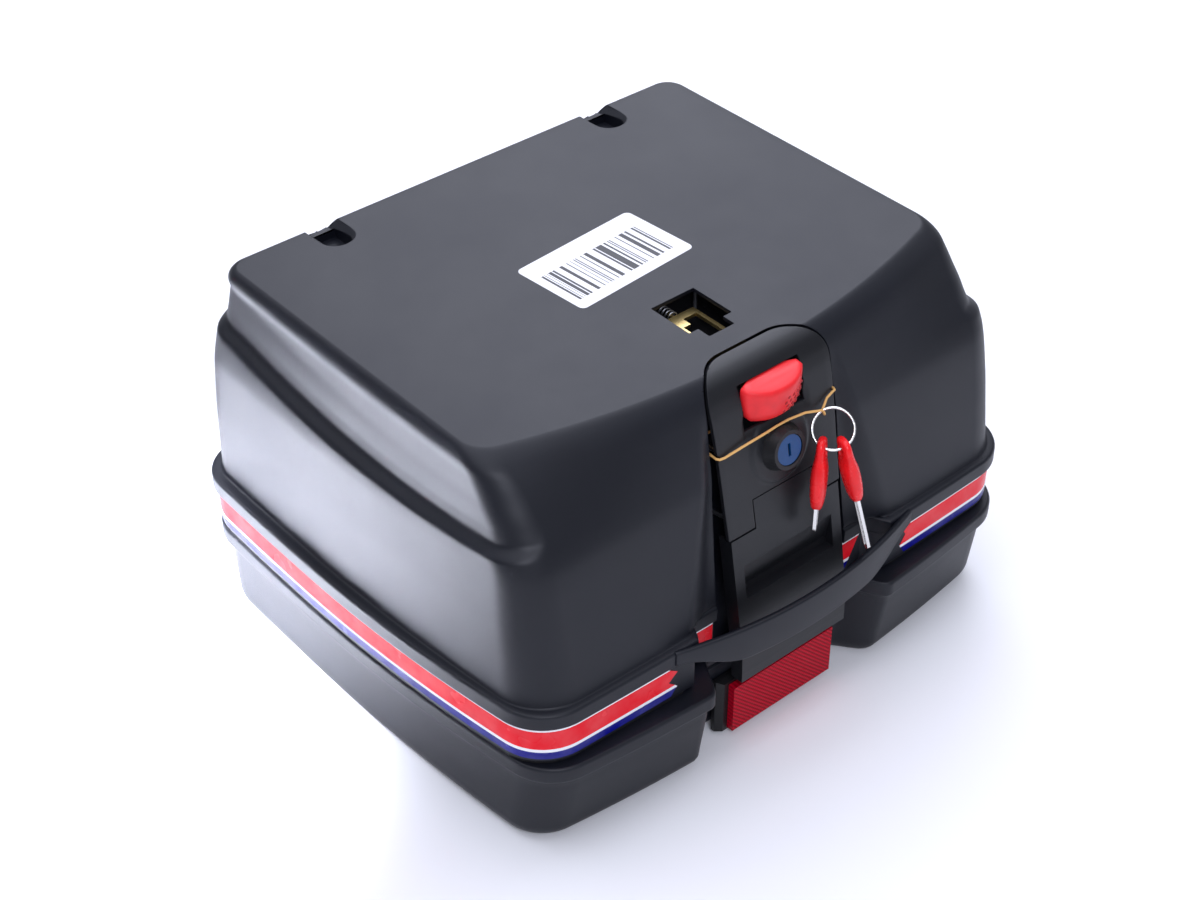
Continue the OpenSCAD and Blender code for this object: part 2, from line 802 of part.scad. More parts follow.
module reflector_lens() {
  y0 = lid_valley_y - boss_depth;
  color([0.55, 0.02, 0.04])
  block([-lens_w / 2, y0 + 3 - lens_t - 3, reflector_z - lens_h / 2], [lens_w / 2, y0 + 3, reflector_z + lens_h / 2]);
}

module reflector_screws() {
  color("silver")
  for (s = [-1, 1])
    translate([s * lens_w * 0.3, lid_valley_y - 3, reflector_z])
      rotate([-90, 0, 0]) {
        cylinder(r = 1.4, h = 3 + wall);
        translate([0, 0, 3 + wall]) cylinder(r = 3.2, h = 2);
      }
}

/* ---- tongue ------------------------------------------------------------------------- */

tongue_t = 3;
tongue_low_z = split_z - 19;
scoop_z0 = split_z + 43;
scoop_z1 = split_z + 70;
scoop_hw = 38;
shelf_hw = 5;                 // half the width of the shelf over the cam's nose
shelf_z = tip_z - 2.5;

module lid_tongue() {
  color([0.20, 0.21, 0.25])
  difference() {
    union() {
      intersection() {
        front_layer(0, tongue_t, tongue_hw);
        union() {
          block([-tongue_hw, -big, tongue_low_z], [tongue_hw, 0, step_z - fit_gap]);
          block([-tip_hw, -big, tongue_low_z], [tip_hw, 0, tip_z - fit_gap]);
        }
      }
      // side ribs and the thick part behind the finger scoop
      intersection() {
        front_layer(1, 9.5, tongue_hw);
        union() {
          for (s = [-1, 1])
            block([s * (tongue_hw - 1) - 1, -big, tongue_low_z], [s * (tongue_hw - 1) + 1, 0, step_z - 2]);
          block([-scoop_hw - 2, -big, scoop_z0 - 2.5], [scoop_hw + 2, 0, scoop_z1 + 2]);
        }
      }
      // feet that are screwed to the lid's valley
      for (s = [-1, 1])
        block([s * foot_x - 6, front_y(foot_z) + 1, foot_z - 6], [s * foot_x + 6, lid_valley_y, foot_z + 6]);
      // shelf that holds the lock's cam down
      block([-shelf_hw, front_y(shelf_z) + 1, shelf_z], [shelf_hw, front_y(shelf_z) + 9, tip_z - fit_gap]);
    }
    // finger scoop: a ramp that ends in a crisp edge towards the lid
    rotate([90, 0, 90])
      linear_extrude(2 * scoop_hw, center = true)
        polygon([
          [front_y(scoop_z0) - 5, scoop_z0], [front_y(scoop_z0) + 7, scoop_z0],
          [front_y(scoop_z0 + 4) + 7, scoop_z0 + 4], [front_y(scoop_z1) - 1, scoop_z1], [front_y(scoop_z1) - 5, scoop_z1]
        ]);
    for (s = [-1, 1])
      translate([s * foot_x, lid_valley_y + 1, foot_z])
        rotate([90, 0, 0]) cylinder(r = 1.4, h = 13);
  }
}

module tongue_screws() {
  color("silver")
  for (s = [-1, 1])
    translate([s * foot_x, lid_valley_y + wall, foot_z])
      rotate([90, 0, 0]) {
        translate([0, 0, -2]) cylinder(r = 3.2, h = 2);
        cylinder(r = 1.4, h = wall + 10);
      }
}

/* ---- stickers ----------------------------------------------------------------------- */

film = 0.4;                   // thickness of the stickers
stripe_z0 = split_z + 4;
stripe_z1 = flange_low_z - 1.5;

module stripe_ring() {
  difference() {
    slab(stripe_z0, stripe_z1 - stripe_z0) skirt_plan(-film);
    slab(stripe_z0 - 1, 60) skirt_plan();
    block([-handle_span / 2 - 8, -big, 0], [handle_span / 2 + 8, 0, big]);
    block([-hinge_x - 50, 0, 0], [hinge_x + 50, big, big]);
  }
}
module stripe_left() color([0.75, 0.04, 0.08]) intersection() {
  stripe_ring();
  block([-big, -big, 0], [0, big, big]);
}
module stripe_right() color([0.75, 0.04, 0.08]) intersection() {
  stripe_ring();
  block([0, -big, 0], [big, big, big]);
}
module stripe_valley(s) {
  x0 = pocket_low_hw + 0.5;
  color([0.75, 0.04, 0.08])
  translate([s > 0 ? x0 : -75, valley_y - film, stripe_z0])
    cube([75 - x0, film, stripe_z1 - stripe_z0]);
}
module stripe_valley_left() stripe_valley(-1);
module stripe_valley_right() stripe_valley(1);

label_t = 0.3;
module label_place() {
  translate([-2.5, rim_yf + 183, case_h - label_t])
    rotate([0, 0, 4.5])
      children();
}
module stock_label() {
  color("white")
  label_place()
    linear_extrude(label_t)
      square([label_w, label_h], center = true);
}

/* ---- rubber band, ring and keys ------------------------------------------------------ */

band_z = case_h - 42;
band_left_z = band_z - 2.6;
band_right_z = band_z + 2;
band_r = 0.8;
ring_r = 13;
wire_r = 0.9;

// The split ring hangs from the band and leans outwards over the lock's collar
ring_e1 = [0.758, -0.652, 0];
ring_e2 = [0.403, 0.469, 0.786];
ring_n = [-0.512, -0.596, 0.619];
ring_c = [33.5, rim_yf + 12.5, case_h - 54];
function ring_point(a) = ring_c + ring_r * (cos(a) * ring_e1 + sin(a) * ring_e2);
hook_dir = cos(120) * ring_e1 + sin(120) * ring_e2;
hook_c = ring_point(120);

// Places its children with local X, Y, Z along a, b, c at p
module frame_at(p, a, b, c) {
  multmatrix([
    [a[0], b[0], c[0], p[0]],
    [a[1], b[1], c[1], p[1]],
    [a[2], b[2], c[2], p[2]],
    [0, 0, 0, 1]
  ]) children();
}

// Tube of radius r along the closed route p, with n sides
module loop_tube(p, r, n) {
  m = len(p);
  rings = [for (i = [0:m - 1])
    let (
      d = p[(i + 1) % m] - p[(i + m - 1) % m],
      t = d / norm(d),
      u = [0, 0, 1] - t * t[2],
      un = u / norm(u),
      v = cross(t, un)
    )
    for (k = [0:n - 1]) p[i] + r * (cos(k * 360 / n) * un + sin(k * 360 / n) * v)];
  faces = [for (i = [0:m - 1], k = [0:n - 1])
    [i * n + k, i * n + (k + 1) % n, ((i + 1) % m) * n + (k + 1) % n, ((i + 1) % m) * n + k]];
  polyhedron(points = rings, faces = faces, convexity = 6);
}

band_y = front_y(band_z);
band_x = panel_hw - 0.4;
over_lock = lock_z + bezel_r + 1;
band_route = concat(
  [
    [-band_x, band_y + 4, band_left_z], [-band_x - 0.2, band_y + 0.6, band_left_z], [-band_x + 1, band_y - 1.4, band_left_z],
    [-band_x + 4, band_y - 2.2, band_left_z + 0.2], [-30, band_y - 3, band_left_z + 2],
    [-12, band_y - 3.9, over_lock - 0.8], [-4, band_y - 4, over_lock], [6, band_y - 4, over_lock], [20, band_y - 4.6, band_z + 0.6]
  ],
  // the hook around the ring's wire
  [for (a = [0:45:180]) hook_c + 2.6 * (cos(a) * ring_n - sin(a) * hook_dir)],
  [
    [41, band_y - 2, band_z], [band_x - 3, band_y - 1.6, band_right_z], [band_x - 0.6, band_y - 1, band_right_z],
    [band_x + 0.2, band_y + 0.8, band_right_z], [band_x, band_y + 4, band_right_z], [band_x, band_y + 18.5, band_right_z],
    [band_x - 3, band_y + 20.2, band_z + 0.5], [30, band_y + 20.2, band_z + 0.5], [0, band_y + 20.2, band_z + 0.5],
    [-30, band_y + 20.2, band_z + 0.5], [-band_x + 3, band_y + 20.2, band_left_z + 1], [-band_x, band_y + 18.5, band_left_z]
  ]
);
module rubber_band() {
  color([0.85, 0.62, 0.35])
    loop_tube(band_route, band_r, 8);
}

module key_ring() {
  color([0.85, 0.85, 0.87])
  frame_at(ring_c, ring_e1, ring_e2, ring_n)
    rotate_extrude($fn = 64)
      translate([ring_r, 0]) circle(r = wire_r, $fn = 16);
}

// A key in its own frame: its hole at the origin, the hole's axis along Z, the blade towards -Y
head_len = 40;
head_w = 20;
hole_r = 4.2;                 // hole in a key's lug
blade_in = 6;                 // how far the blade reaches into the head
head_t = 10;
module key_head() {
  color([0.80, 0.06, 0.08])
  difference() {
    union() {
      // thin lug with the hole for the ring
      translate([0, 0, -2])
        linear_extrude(4)
          polygon(concat([for (a = [0:20:180]) [6.6 * cos(a), 6.6 * sin(a)]], [[-8, -9], [8, -9]]));
      translate([0, 0, -head_t / 2])
        linear_extrude(head_t)
          polygon(concat(
            [for (a = [0:20:180]) [head_w / 2 * cos(a), -16 + 10 * sin(a)]],
            [for (a = [180:20:360]) [head_w * 0.40 * cos(a), -head_len + 8 + 8 * sin(a)]]
          ));
    }
    cylinder(r = hole_r, h = 20, center = true, $fn = 32);
    key_blade(blade_in + 5);
  }
}
module key_blade(len) {
  color([0.78, 0.79, 0.80])
  translate([0, -head_len + blade_in, 0])
    rotate([90, 0, 0])
      linear_extrude(len)
        square([8, 2.4], center = true);
}

// Puts a key on the ring at angle a, hanging along down
module at_key(a, down) {
  t0 = -sin(a) * ring_e1 + cos(a) * ring_e2;
  d = down / norm(down);
  t1 = t0 - d * (d * t0);
  t = t1 / norm(t1);
  frame_at(ring_point(a), cross(-d, t), -d, t)
    translate([0, -1.6, 0]) children();
}
key_a1 = -122;
key_a2 = -58;
key_d1 = [-0.196, -0.17, -0.966];
key_d2 = [0.169, -0.176, -0.97];
module key_head_1() at_key(key_a1, key_d1) key_head();
module key_blade_1() at_key(key_a1, key_d1) key_blade(21);
module key_head_2() at_key(key_a2, key_d2) key_head();
module key_blade_2() at_key(key_a2, key_d2) key_blade(46);

lid_shell();
rim_seal();
reflector_housing();
reflector_lens();
reflector_screws();
lid_tongue();
tongue_screws();
hinge_pin_left();
hinge_pin_right();
base_shell();
mechanism_cover();
cover_screws();
lock_panel();
panel_screws();
release_button();
latch_slider();
latch_spring();
lock_barrel();
lock_nut();
lock_plug();
plug_cap();
lock_cam();
cam_screw();
stripe_left();
stripe_right();
stripe_valley_left();
stripe_valley_right();
stock_label();
rubber_band();
key_ring();
key_head_1();
key_blade_1();
key_head_2();
key_blade_2();
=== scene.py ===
import math

import bmesh
import bpy
import numpy as np
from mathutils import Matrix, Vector


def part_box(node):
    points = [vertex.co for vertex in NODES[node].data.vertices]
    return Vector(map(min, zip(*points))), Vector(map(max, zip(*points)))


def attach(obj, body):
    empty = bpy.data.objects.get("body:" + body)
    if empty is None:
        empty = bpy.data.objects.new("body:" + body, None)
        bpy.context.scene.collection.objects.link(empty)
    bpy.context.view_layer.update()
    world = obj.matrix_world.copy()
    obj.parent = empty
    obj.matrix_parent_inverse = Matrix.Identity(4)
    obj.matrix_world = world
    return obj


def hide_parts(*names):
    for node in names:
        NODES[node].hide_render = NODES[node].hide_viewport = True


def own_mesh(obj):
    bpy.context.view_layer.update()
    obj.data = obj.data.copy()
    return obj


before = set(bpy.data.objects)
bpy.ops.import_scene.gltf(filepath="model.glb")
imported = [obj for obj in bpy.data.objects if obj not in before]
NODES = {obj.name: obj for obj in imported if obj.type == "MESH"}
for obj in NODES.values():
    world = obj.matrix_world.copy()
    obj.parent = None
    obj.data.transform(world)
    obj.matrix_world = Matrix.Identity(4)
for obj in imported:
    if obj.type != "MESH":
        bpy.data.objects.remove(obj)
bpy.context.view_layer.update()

# ---------------------------------------------------------------------------------------
# Base shell: the deep half of the case, injection moulded in one piece with its flange.
# Charcoal polypropylene with a fine spark-eroded grain; it carries the lock and the label.
# Lengths in this script are in millimetres until a mesh is made.

RIM_F, RIM_R, BELLY = -170.0, 182.0, 50.0       # front and rear of the flange, widest place
CASE_H, SPLIT, WALL = 266.0, 75.0, 3.0          # mounting face, parting line, wall
PANEL_HW, LOW_HW, GAP, POCKET = 49.5, 56.0, 1.6, 22.0   # pocket that holds the lock panel
HOOK_X, PAD_HW, SLIT_R = 116.0, 12.0, 9.0       # hook slots in the mounting face


def blur(z, rows, sigma):
    """Piecewise-linear table of (z, value) rows, softened over sigma millimetres."""
    r = np.array(rows, float)
    k = np.linspace(-2.5, 2.5, 21)
    w = np.exp(-k * k / 2)
    w /= w.sum()
    return sum(wi * np.interp(z + ki * sigma, r[:, 0], r[:, 1]) for wi, ki in zip(w, k))


def sstep(a, b, x):
    t = np.clip((np.asarray(x, float) - a) / (b - a), 0, 1)
    return t * t * (3 - 2 * t)


def half_ring(hw, bulge, yf, bow, yr, rf, rr, valley=(0.0, 60.0, 80.0), ins=0.0, n=(44, 22, 34, 12, 12)):
    """Right half of a plan outline, front centre to rear centre."""
    hw, yf, yr = hw - ins, yf + ins, yr - ins
    rf, rr = max(rf - 0.7 * ins, 2.0), max(rr - 0.7 * ins, 2.0)
    xs = hw - 30
    front = lambda x: yf + bow * (x / xs) ** 2
    dfront = lambda x: 2 * bow * x / xs ** 2
    share = lambda y: np.where(np.asarray(y) > BELLY, 0.35, 1.0)
    side = lambda y: hw - bulge * share(y) * ((y - BELLY) / 220) ** 2
    dside = lambda y: -2 * bulge * float(share(y)) * (y - BELLY) / 220 ** 2
    xc, yc, a0, a1 = hw - rf, yf + rf, -math.pi / 2, 0.0
    for _ in range(30):
        x0 = xc + rf * math.cos(a0)
        a0 = -math.pi / 2 + math.atan(dfront(x0))
        yc = front(x0) - rf * math.sin(a0)
        y1 = yc + rf * math.sin(a1)
        a1 = -math.atan(dside(y1))
        xc = side(y1) - rf * math.cos(a1)
    xd, yd, b0, b1 = hw - rr, yr - rr, 0.0, math.pi / 2
    for _ in range(30):
        y2 = yd + rr * math.sin(b0)
        b0 = -math.atan(dside(y2))
        xd = side(y2) - rr * math.cos(b0)
    x0 = xc + rf * math.cos(a0)
    dv, xi, xo = valley
    u = np.linspace(0, 1, n[0])
    near = min(1.0, (xo + 6) / x0)
    x = x0 * np.where(u < 0.75, near * u / 0.75, near + (1 - near) * (u - 0.75) / 0.25)
    pts = [np.stack([x, front(x) + dv * (1 - sstep(xi, xo, x))], 1)]
    a = np.linspace(a0, a1, n[1] + 1)[1:]
    pts.append(np.stack([xc + rf * np.cos(a), yc + rf * np.sin(a)], 1))
    y1, y2 = yc + rf * math.sin(a1), yd + rr * math.sin(b0)
    y = y1 + (y2 - y1) * np.linspace(0, 1, n[2] + 1)[1:] ** 1.5
    pts.append(np.stack([side(y), y], 1))
    a = np.linspace(b0, b1, n[3] + 1)[1:]
    pts.append(np.stack([xd + rr * np.cos(a), yd + rr * np.sin(a)], 1))
    x = np.linspace(xd, 0, n[4] + 1)[1:]
    pts.append(np.stack([x, np.full_like(x, yd + rr)], 1))
    return np.concatenate(pts)


def full_ring(half):
    return np.concatenate([half, (half * [-1, 1])[-2:0:-1]])


def tube_faces(rings, n):
    """Faces of a closed tube through that many rings of n points, with a cap at each end."""
    faces = [(k * n + i, k * n + (i + 1) % n, (k + 1) * n + (i + 1) % n, (k + 1) * n + i)
             for k in range(rings - 1) for i in range(n)]
    return faces + [tuple(range(n))[::-1], tuple(range((rings - 1) * n, rings * n))]


def shell_loft(levels):
    """Vertices and faces of a closed solid through (plan ring, height) levels."""
    m = len(levels[0][0])
    verts = np.concatenate([np.column_stack([ring, np.full(m, z)]) for ring, z in levels])
    return verts, tube_faces(len(levels), m)


def circle(radius, n, cu=0.0, cv=0.0):
    """(u, v) points of a round outline."""
    turn = np.linspace(0, 2 * math.pi, n, False)
    return [(cu + radius * math.cos(a), cv + radius * math.sin(a)) for a in turn]


def mesh_object(name, verts, faces):
    me = bpy.data.meshes.new(name)
    me.from_pydata([tuple(v) for v in np.asarray(verts, float) * 0.001], [], faces)
    bm = bmesh.new()
    bm.from_mesh(me)
    bmesh.ops.recalc_face_normals(bm, faces=bm.faces)
    bm.to_mesh(me)
    bm.free()
    ob = bpy.data.objects.new(name, me)
    bpy.context.scene.collection.objects.link(ob)
    return ob


def apply_all(ob):
    dg = bpy.context.evaluated_depsgraph_get()
    me = bpy.data.meshes.new_from_object(ob.evaluated_get(dg))
    ob.modifiers.clear()
    old = ob.data
    ob.data = me
    bpy.data.meshes.remove(old)
    return ob


def combine(ob, tools, op="DIFFERENCE"):
    """Boolean of ob with each tool in turn; the tools are used up."""
    for t in tools:
        m = ob.modifiers.new("cut", "BOOLEAN")
        m.operation, m.solver, m.object = op, "EXACT", t
        apply_all(ob)
        bpy.data.objects.remove(t)
    return ob


def soften(ob, width=0.7, segments=2, angle=32):
    """Rounds the sharp edges that the cuts left."""
    bm = bmesh.new()
    bm.from_mesh(ob.data)
    bmesh.ops.remove_doubles(bm, verts=bm.verts, dist=2e-5)
    bmesh.ops.dissolve_degenerate(bm, edges=bm.edges, dist=2e-5)
    # A long thin face such as the rim is cut into triangles, or the bevel would fold it shut.
    thin = [f for f in bm.faces if len(f.verts) > 40 and f.calc_area() < 0.02 * f.calc_perimeter() ** 2]
    bmesh.ops.triangulate(bm, faces=thin)
    if width:
        sharp = [e for e in bm.edges if len(e.link_faces) == 2 and e.calc_face_angle(0) > math.radians(angle)]
        bmesh.ops.bevel(bm, geom=sharp, offset=width * 0.001, offset_type="OFFSET", segments=segments,
                        profile=0.6, affect="EDGES", clamp_overlap=False, miter_outer="ARC")
    bm.to_mesh(ob.data)
    bm.free()
    return ob


def shade(ob, angle=30, weighted=False):
    """Smooth shading up to an angle; weighted keeps large flat faces flat."""
    me = ob.data
    me.polygons.foreach_set("use_smooth", [True] * len(me.polygons))
    me.set_sharp_from_angle(angle=math.radians(angle))
    if weighted:
        m = ob.modifiers.new("flat", "WEIGHTED_NORMAL")
        m.keep_sharp, m.weight = True, 60
        apply_all(ob)
    return ob


def block(name, lo, hi):
    (a, b, c), (d, e, f) = lo, hi
    v = [(a, b, c), (d, b, c), (d, e, c), (a, e, c), (a, b, f), (d, b, f), (d, e, f), (a, e, f)]
    faces = [(0, 3, 2, 1), (4, 5, 6, 7), (0, 1, 5, 4), (1, 2, 6, 5), (2, 3, 7, 6), (3, 0, 4, 7)]
    return mesh_object(name, v, faces)


def extrude(name, outline, direction, lo, hi, to3d):
    """Prism of a closed 2-D outline, swept along direction from lo to hi."""
    p = np.array([to3d(u, v) for u, v in outline], float)
    d = np.array(direction, float)
    n = len(p)
    verts = np.concatenate([p + d * lo, p + d * hi])
    faces = [tuple(range(n))[::-1], tuple(range(n, 2 * n))]
    faces += [(i, (i + 1) % n, n + (i + 1) % n, n + i) for i in range(n)]
    return mesh_object(name, verts, faces)


def flat_xy(u, v):
    return (u, v, 0)


def side_yz(u, v):
    return (0, u, v)


PROFILE = np.array([
    [-40, -3], [SPLIT - 12, 0.5], [SPLIT + 1, 1], [SPLIT + 15, 3], [119, 8], [163, 16], [190, 21.5], [214, 26],
    [231, 30], [248, 34.5], [256, 37.2], [260, 39.5], [263, 42.5], [265, 45.5], [266, 50],
])


def behind_front(name, depth, half):
    """Solid behind the front surface, once that is moved in by depth."""
    pts = [(400, -80)] + [(RIM_F + b + depth, a - depth) for a, b in PROFILE] + [(400, CASE_H - depth)]
    pts[1] = (RIM_F - 3 + depth, -80)
    return extrude(name, pts, (1, 0, 0), -half, half, side_yz)


ARCH_T = (RIM_F + 59.5 + CASE_H) / math.sqrt(2)


def arch_prism(name, top_hw, low_hw, grow):
    """Arched outline seen from 45 degrees above the front, swept right through."""
    r, top = 30 + grow, ARCH_T + grow
    right = [(low_hw, top - 260), (low_hw, top - 135)]
    right += [(top_hw - r + r * math.cos(math.radians(a)), top - r + r * math.sin(math.radians(a)))
              for a in range(0, 91, 6)]
    left = [(-x, t) for x, t in reversed(right) if x > 0.01]
    s = math.sqrt(0.5)
    return extrude(name, right + left, (0, -s, s), -500, 500, lambda x, t: (x, t * s, t * s))


z_wall = np.concatenate([
    np.arange(121.5, 203, 4.5), np.arange(204, 238, 1.1), np.arange(239, 250, 2.5),
    250 + 16 * np.sin(np.linspace(0, math.pi / 2, 16)),
])


def wall_ring(z, ins=0.0):
    """Outline of the base's wall at height z. The upper half of each side is a sunk panel."""
    hw = blur(z, [(100, 217.5), (118, 216.5), (170, 214.6), (206, 211.6), (236, 203.0), (266, 191.3)], 4)
    bulge = blur(z, [(118, 15), (206, 15), (222, 9), (240, 4.5), (266, 0)], 5)
    yf = blur(z, [(100, -167), (118, -163.6), (165, -156.0), (208, -148.5), (236, -140.0), (252, -134.6),
                  (259, -131.0), (266, -124.5)], 3)
    bow = blur(z, [(118, 3), (200, 2.5), (216, 5.5), (266, 24)], 6)
    yr = blur(z, [(118, 177), (206, 173), (266, 167.5)], 5)
    rf = blur(z, [(118, 35), (200, 29), (216, 27), (266, 22)], 5)
    rr = blur(z, [(118, 30), (206, 25), (266, 15)], 5)
    dv = blur(z, [(118, 9.5), (150, 9), (200, 7), (232, 3.5), (248, 0)], 4)
    xo = blur(z, [(118, 90), (140, 84), (200, 68), (245, 58)], 4)
    xi = blur(z, [(118, 62), (150, 58), (200, 54), (245, 50)], 4)
    if ins == 0:
        r = 9.0
        k = np.clip((z - (266 - r)) / r, 0, 1)
        ins = r * 0.62 * (1 - math.sqrt(1 - min(k, 1) ** 2))
    ring = half_ring(hw, bulge, yf, bow, yr, rf, rr, (dv, xi, xo), ins)
    y = ring[:, 1]
    ledge = 13.0 * np.maximum((y + 50) / 200, 0) ** 2 + 6.6 * np.maximum(-(y + 50) / 100, 0) ** 2
    sunk = [(200, 0), (211.5, 0), (217.5, 6.6), (225, 6.4), (240, 4.6), (252, 1.8), (260, 0)]
    depth = blur(z - ledge, sunk, 0.8)
    front_edge = -146.0 + 0.42 * (z - 211)
    ring[:, 0] -= (depth * sstep(front_edge, front_edge + 8, y) * (ring[:, 0] > 120)
                   * (1 - sstep(170, 175, y)) * (1 - sstep(252, 264, z)))
    return full_ring(ring)


def flange_ring(ins, valley=(14.5, 76.0, 85.0)):
    return full_ring(half_ring(225.5, 20, RIM_F, 4, RIM_R, 37, 36, valley, ins))


FLANGE = [(76.0, 3.6), (76.6, 3.1), (77.6, 3.0), (104.2, 3.0), (105.0, 2.6), (105.1, 1.2), (105.5, 0.4),
          (106.4, 0.0), (114.8, 0.0), (116.2, 0.5), (117.0, 1.7)]      # height, inset
levels = [(flange_ring(ins), z) for z, ins in FLANGE]
edge = flange_ring(3.0)
for t, z in ((0.25, 117.2), (0.55, 117.3), (0.8, 117.5), (0.92, 118.2)):
    levels.append((edge * (1 - t) + wall_ring(118.5) * t, z))
levels.append((wall_ring(119.6), 119.6))
levels += [(wall_ring(z), z) for z in z_wall]
base_shell = mesh_object("base_shell_skin", *shell_loft(levels))

inner = [(flange_ring(6.0), 60.0), (flange_ring(6.0), 104.0), (wall_ring(112.0, 3.0), 112.0)]
inner += [(wall_ring(z, 3.0), z) for z in (118, 135, 160, 185, 200, *range(206, 240, 3), 247, 255, 263)]
cavity = mesh_object("cavity", *shell_loft(inner))
keep = arch_prism("keep", PANEL_HW + GAP + WALL, LOW_HW + WALL, GAP + WALL)
combine(keep, [behind_front("b", POCKET + WALL, 600), block("b2", (-600, 40, -400), (600, 900, 700))])
valley_front = [(-88, -400), (88, -400), (80, -152.5), (-80, -152.5)]
pads = [block("pad", (x - PAD_HW, 133, 251), (x + PAD_HW, 220, 300)) for x in (-HOOK_X, HOOK_X)]
combine(cavity, [keep, extrude("v", valley_front, (0, 0, 1), 20, 118, flat_xy), *pads])
combine(base_shell, [cavity])
pocket = arch_prism("pocket", PANEL_HW + GAP, LOW_HW, GAP)
combine(pocket, [behind_front("b", POCKET, 600), block("b2", (-600, 0, -400), (600, 900, 700)),
                 block("b3", (-600, -600, -600), (600, 600, 71))])
combine(base_shell, [pocket])
LATCH = [(-17.5, -47), (-17.5, -81.5), (-10.2, -81.5), (-10.2, -91.5),
         (10.2, -91.5), (10.2, -81.5), (17.5, -81.5), (17.5, -47)]
combine(base_shell, [extrude("l", LATCH, (0, 0, 1), 254, 300, flat_xy),
                     block("ch", (-19, -120, 248), (19, -86.5, 260))])
# Each hook slot is a round-ended slit in a shallow dish that opens over the rear edge.
half_turn = np.linspace(math.pi, 2 * math.pi, 13)
for cx in (-HOOK_X, HOOK_X):
    slit = [(cx + SLIT_R * math.cos(a), 145 + SLIT_R * math.sin(a)) for a in half_turn]
    slit += [(cx + SLIT_R, 162), (cx - SLIT_R, 162)]
    dish = []
    for g, z in ((14, 270), (13, 266.4), (9.6, 263.5), (8.0, 262.2)):
        dish += [(cx + g * math.cos(a), 146 + g * 0.9 * math.sin(a), z) for a in half_turn]
        rear_z = z - (200 - 146) * 0.12
        dish += [(cx + g * 0.8, 200, rear_z), (cx - g * 0.8, 200, rear_z)]
    faces = tube_faces(4, 15)
    faces[-2:] = [cap[::-1] for cap in faces[-2:]]
    combine(base_shell, [mesh_object("dish", dish, faces), extrude("s", slit, (0, 0, 1), 254, 300, flat_xy)])
soften(base_shell, 0.6, 2, 34)
shade(base_shell, 40, True)


class Sock:
    """A shader socket that arithmetic can be written with."""

    def __init__(self, tree, socket):
        self.tree, self.s = tree, socket

    def _op(self, kind, other=None, swap=False):
        n = self.tree.nodes.new("ShaderNodeMath")
        n.operation = kind
        for i, a in enumerate([other, self] if swap else [self, other]):
            if isinstance(a, Sock):
                self.tree.links.new(a.s, n.inputs[i])
            elif a is not None:
                n.inputs[i].default_value = a
        return Sock(self.tree, n.outputs[0])

    def __add__(self, o):
        return self._op("ADD", o)

    __radd__ = __add__

    def __sub__(self, o):
        return self._op("SUBTRACT", o)

    def __rsub__(self, o):
        return self._op("SUBTRACT", o, swap=True)

    def __mul__(self, o):
        return self._op("MULTIPLY", o)

    __rmul__ = __mul__

    def __gt__(self, o):
        return self._op("GREATER_THAN", o)

    def __lt__(self, o):
        return self._op("LESS_THAN", o)

    def sin(self):
        return self._op("SINE")

    def floor(self):
        return self._op("FLOOR")

    def smooth(self, a, b):
        n = self.tree.nodes.new("ShaderNodeMapRange")
        n.interpolation_type = "SMOOTHSTEP"
        self.tree.links.new(self.s, n.inputs[0])
        n.inputs[1].default_value, n.inputs[2].default_value = a, b
        return Sock(self.tree, n.outputs[0])


class Paint:
    """A Principled material and the nodes that vary it."""

    def __init__(self, name, color, rough, metallic=0.0, **extra):
        self.mat = bpy.data.materials.new(name)
        self.mat.use_nodes = True
        self.tree = self.mat.node_tree
        self.bsdf = next(n for n in self.tree.nodes if n.type == "BSDF_PRINCIPLED")
        self.set("Base Color", (*color, 1))
        self.set("Roughness", rough)
        self.set("Metallic", metallic)
        for k, v in extra.items():
            self.set(k.replace("_", " "), v)

    def set(self, name, value):
        if isinstance(value, Sock):
            self.tree.links.new(value.s, self.bsdf.inputs[name])
        elif isinstance(value, bpy.types.NodeSocket):
            self.tree.links.new(value, self.bsdf.inputs[name])
        else:
            self.bsdf.inputs[name].default_value = value

    def node(self, kind, out=0, props=None, **inputs):
        n = self.tree.nodes.new("ShaderNode" + kind)
        for k, v in (props or {}).items():
            setattr(n, k, v)
        for k, v in inputs.items():
            s = n.inputs[k.replace("_", " ")]
            if isinstance(v, Sock):
                self.tree.links.new(v.s, s)
            elif isinstance(v, bpy.types.NodeSocket):
                self.tree.links.new(v, s)
            else:
                s.default_value = v
        return Sock(self.tree, n.outputs[out])

    def place(self):
        return self.node("TexCoord", "Object")

    def axes(self, vec=None):
        n = self.tree.nodes.new("ShaderNodeSeparateXYZ")
        self.tree.links.new((vec or self.place()).s, n.inputs[0])
        return [Sock(self.tree, o) for o in n.outputs]

    def noise(self, scale, detail=2.0, rough=0.5, vec=None):
        vec = vec or self.place()
        return self.node("TexNoise", 0, Vector=vec, Scale=scale, Detail=detail, Roughness=rough)

    def mix(self, fac, a, b):
        n = self.tree.nodes.new("ShaderNodeMix")
        n.data_type = "RGBA"
        for i, v in ((0, fac), (6, a), (7, b)):
            if isinstance(v, Sock):
                self.tree.links.new(v.s, n.inputs[i])
            else:
                n.inputs[i].default_value = v if i == 0 else (*v, 1) if len(v) == 3 else v
        return Sock(self.tree, n.outputs[2])

    def bump(self, height, strength=0.3, distance=0.0005):
        self.set("Normal", self.node("Bump", 0, Height=height, Strength=strength, Distance=distance))


